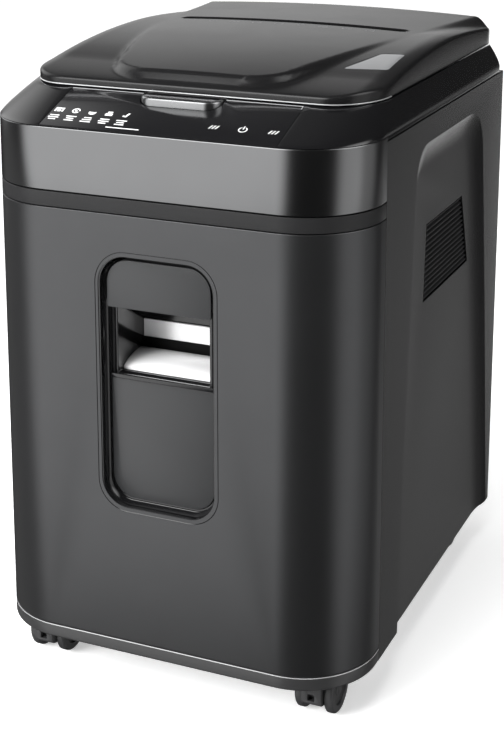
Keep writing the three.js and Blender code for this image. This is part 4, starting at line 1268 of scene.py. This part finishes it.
# ---------------- the shredder
for make in (front_band, front_strip, bin_front, base_tray, base_pan, base_highlight_bead):
    make()
for side in ("left", "right"):
    side_panel(side)
    vent_grille(side)
    hinge_pin(side)
for make in (upper_housing, control_overlay, console_marks, overlay_highlight_edge, latch, latch_cap,
             lid_shell, slot_throat, lid_highlight_bead, lid_window, lid_icons, lid_liner, pressure_plate, bin_bezel,
             bin_upper_plate, pull_pocket, pull_insert, pull_groove, bin_window, bin_lip, bin_bucket):
    make()
for index, place in enumerate(("front", "rear")):
    cutter_cylinder(place, index)
    feed_shaft(place, index)
for make in (paper_tray, paper_guide, mechanism_deck, motor_can, rear_cover):
    make()
for index, x in enumerate(SCREW_X):
    rear_screw(index + 1, x)
electric_socket("power_inlet", (-39.5, -10.5), (-36, -14, 82, 98), [(-31, 88), (-25, 93), (-19, 88)])
electric_socket("switch_body", (6.5, 27.5), (9, 25, 81, 99), [])
switch_rocker()
for place, x, y in CASTERS:
    caster_hood(place, x, y)
    caster_wheel(place, x, y, "a")
    caster_wheel(place, x, y, "b")

# Simple pieces keep the frame's own shape and only get a finish.
CARRIED = [
    (STEEL, ["cutter_plate_left", "cutter_plate_right", "idler_pin", "motor_shaft"]),
    (NYLON, ["cutter_gear_front", "cutter_gear_rear", "feed_gear_front", "feed_gear_rear", "idler_gear"]),
    (BOARD, ["control_board", "power_board"]),
]
for material, names in CARRIED:
    for name in names:
        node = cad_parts[name]
        node.data.materials.clear()
        node.data.materials.append(material)


# ---------------- stage, lights and camera
def floor():
    """A plain pale floor that doesn't show in the gloss."""
    size = 9000
    corners = [(-size, -size, 0), (size, -size, 0), (size, size, 0), (-size, size, 0)]
    ground = new_object("floor", corners, [(0, 1, 2, 3)])
    material = bpy.data.materials.new("floor_white")
    material.use_nodes = True
    surface = material.node_tree.nodes["Principled BSDF"]
    fill(surface, {"Base Color": (0.93, 0.93, 0.93, 1), "Roughness": 0.6, "Specular IOR Level": 0.2,
                   "Emission Color": (1, 1, 1, 1), "Emission Strength": 0.45})
    ground.data.materials.append(material)
    ground.visible_glossy = False


ROOM_LIGHT = 0.03
# Soft lobes of light all round: azimuth from -Y towards +X, elevation, half angle, softness, strength
# and how much the sky's heights are squashed first, which draws a lobe out into a tall one.
LOBES = [
    (-33, 4, 24, 9, 1.50, 0.45),
    (-95, -26, 22, 14, 0.16, 1),
    (85, -5, 14, 11, 0.80, 0.35),
    (114, -5, 16, 8, 0.38, 0.5),
    (165, -25, 15, 10, 0.20, 1),
    (190, -16, 14, 8, 1.7, 1),
    (207, 6, 15, 8, 0.76, 1),
    (207, 28, 20, 20, 0.08, 1),
    (251, 23, 18, 14, 1.5, 1),
    (-28, 42, 15, 8, 4.5, 1),
    (100, 42, 20, 10, 2.4, 1),
]


def aim_of(azimuth, elevation):
    """The unit vector towards a light."""
    a, e = math.radians(azimuth), math.radians(elevation)
    return Vector((math.sin(a) * math.cos(e), -math.cos(a) * math.cos(e), math.sin(e)))


def studio():
    """A dim room with soft lobes of light. The camera itself sees plain white."""
    world = bpy.data.worlds.new("studio")
    scene.world = world
    world.use_nodes = True
    nodes, links = world.node_tree.nodes, world.node_tree.links
    nodes.clear()
    direction = nodes.new("ShaderNodeTexCoord").outputs["Generated"]
    total = None
    for azimuth, elevation, reach, soft, strength, squash in LOBES:
        flatten = nodes.new("ShaderNodeVectorMath")
        flatten.operation = "MULTIPLY"
        fill(flatten, {1: (1, 1, squash)})
        unit = nodes.new("ShaderNodeVectorMath")
        unit.operation = "NORMALIZE"
        dot = nodes.new("ShaderNodeVectorMath")
        dot.operation = "DOT_PRODUCT"
        fill(dot, {1: aim_of(azimuth, elevation)})
        links.new(direction, flatten.inputs[0])
        links.new(flatten.outputs[0], unit.inputs[0])
        links.new(unit.outputs[0], dot.inputs[0])
        ramp = nodes.new("ShaderNodeMapRange")
        ramp.interpolation_type = "SMOOTHSTEP"
        fill(ramp, {"From Min": math.cos(math.radians(min(reach + soft, 179))),
                    "From Max": math.cos(math.radians(max(reach - soft, 0))), "To Max": strength})
        links.new(dot.outputs["Value"], ramp.inputs["Value"])
        if total is None:
            total = ramp.outputs["Result"]
        else:
            add = nodes.new("ShaderNodeMath")
            links.new(total, add.inputs[0])
            links.new(ramp.outputs["Result"], add.inputs[1])
            total = add.outputs[0]
    room = nodes.new("ShaderNodeMath")
    fill(room, {1: ROOM_LIGHT})
    links.new(total, room.inputs[0])
    lit = nodes.new("ShaderNodeBackground")
    links.new(room.outputs[0], lit.inputs["Strength"])
    plain = nodes.new("ShaderNodeBackground")
    fill(plain, {"Strength": 1.0})
    sees = nodes.new("ShaderNodeLightPath")
    mix_node = nodes.new("ShaderNodeMixShader")
    links.new(sees.outputs["Is Camera Ray"], mix_node.inputs[0])
    links.new(lit.outputs[0], mix_node.inputs[1])
    links.new(plain.outputs[0], mix_node.inputs[2])
    out = nodes.new("ShaderNodeOutputWorld")
    links.new(mix_node.outputs[0], out.inputs[0])


def area_light(name, azimuth, elevation, distance, size, power):
    """A soft box that looks at the middle of the shredder and doesn't show in its gloss."""
    aim = aim_of(azimuth, elevation)
    data = bpy.data.lights.new(name, "AREA")
    data.shape = "DISK"
    data.size = size
    data.energy = power
    lamp = bpy.data.objects.new(name, data)
    lamp.location = aim * distance + Vector((0, 0, 0.25))
    lamp.rotation_euler = aim.to_track_quat("Z", "Y").to_euler()
    lamp.visible_glossy = False
    scene.collection.objects.link(lamp)


LENS_MM = 77.35
LENS_SHIFT_Y = -0.140
EYE = (0.55463, -1.29934, 0.77068)
LOOK_DOWN, LOOK_AROUND = 16.83, 23.383  # degrees below the horizon, and about +Z


def camera():
    data = bpy.data.cameras.new("camera")
    data.sensor_width = 36
    data.lens = LENS_MM
    data.shift_y = LENS_SHIFT_Y
    data.clip_end = 100
    eye = bpy.data.objects.new("camera", data)
    eye.location = EYE
    eye.rotation_euler = (math.radians(90 - LOOK_DOWN), 0, math.radians(LOOK_AROUND))
    scene.collection.objects.link(eye)
    scene.camera = eye


floor()
studio()
area_light("top_box", -20, 72, 2.6, 2.4, 70)
area_light("front_box", -38, 16, 2.6, 1.6, 95)
camera()
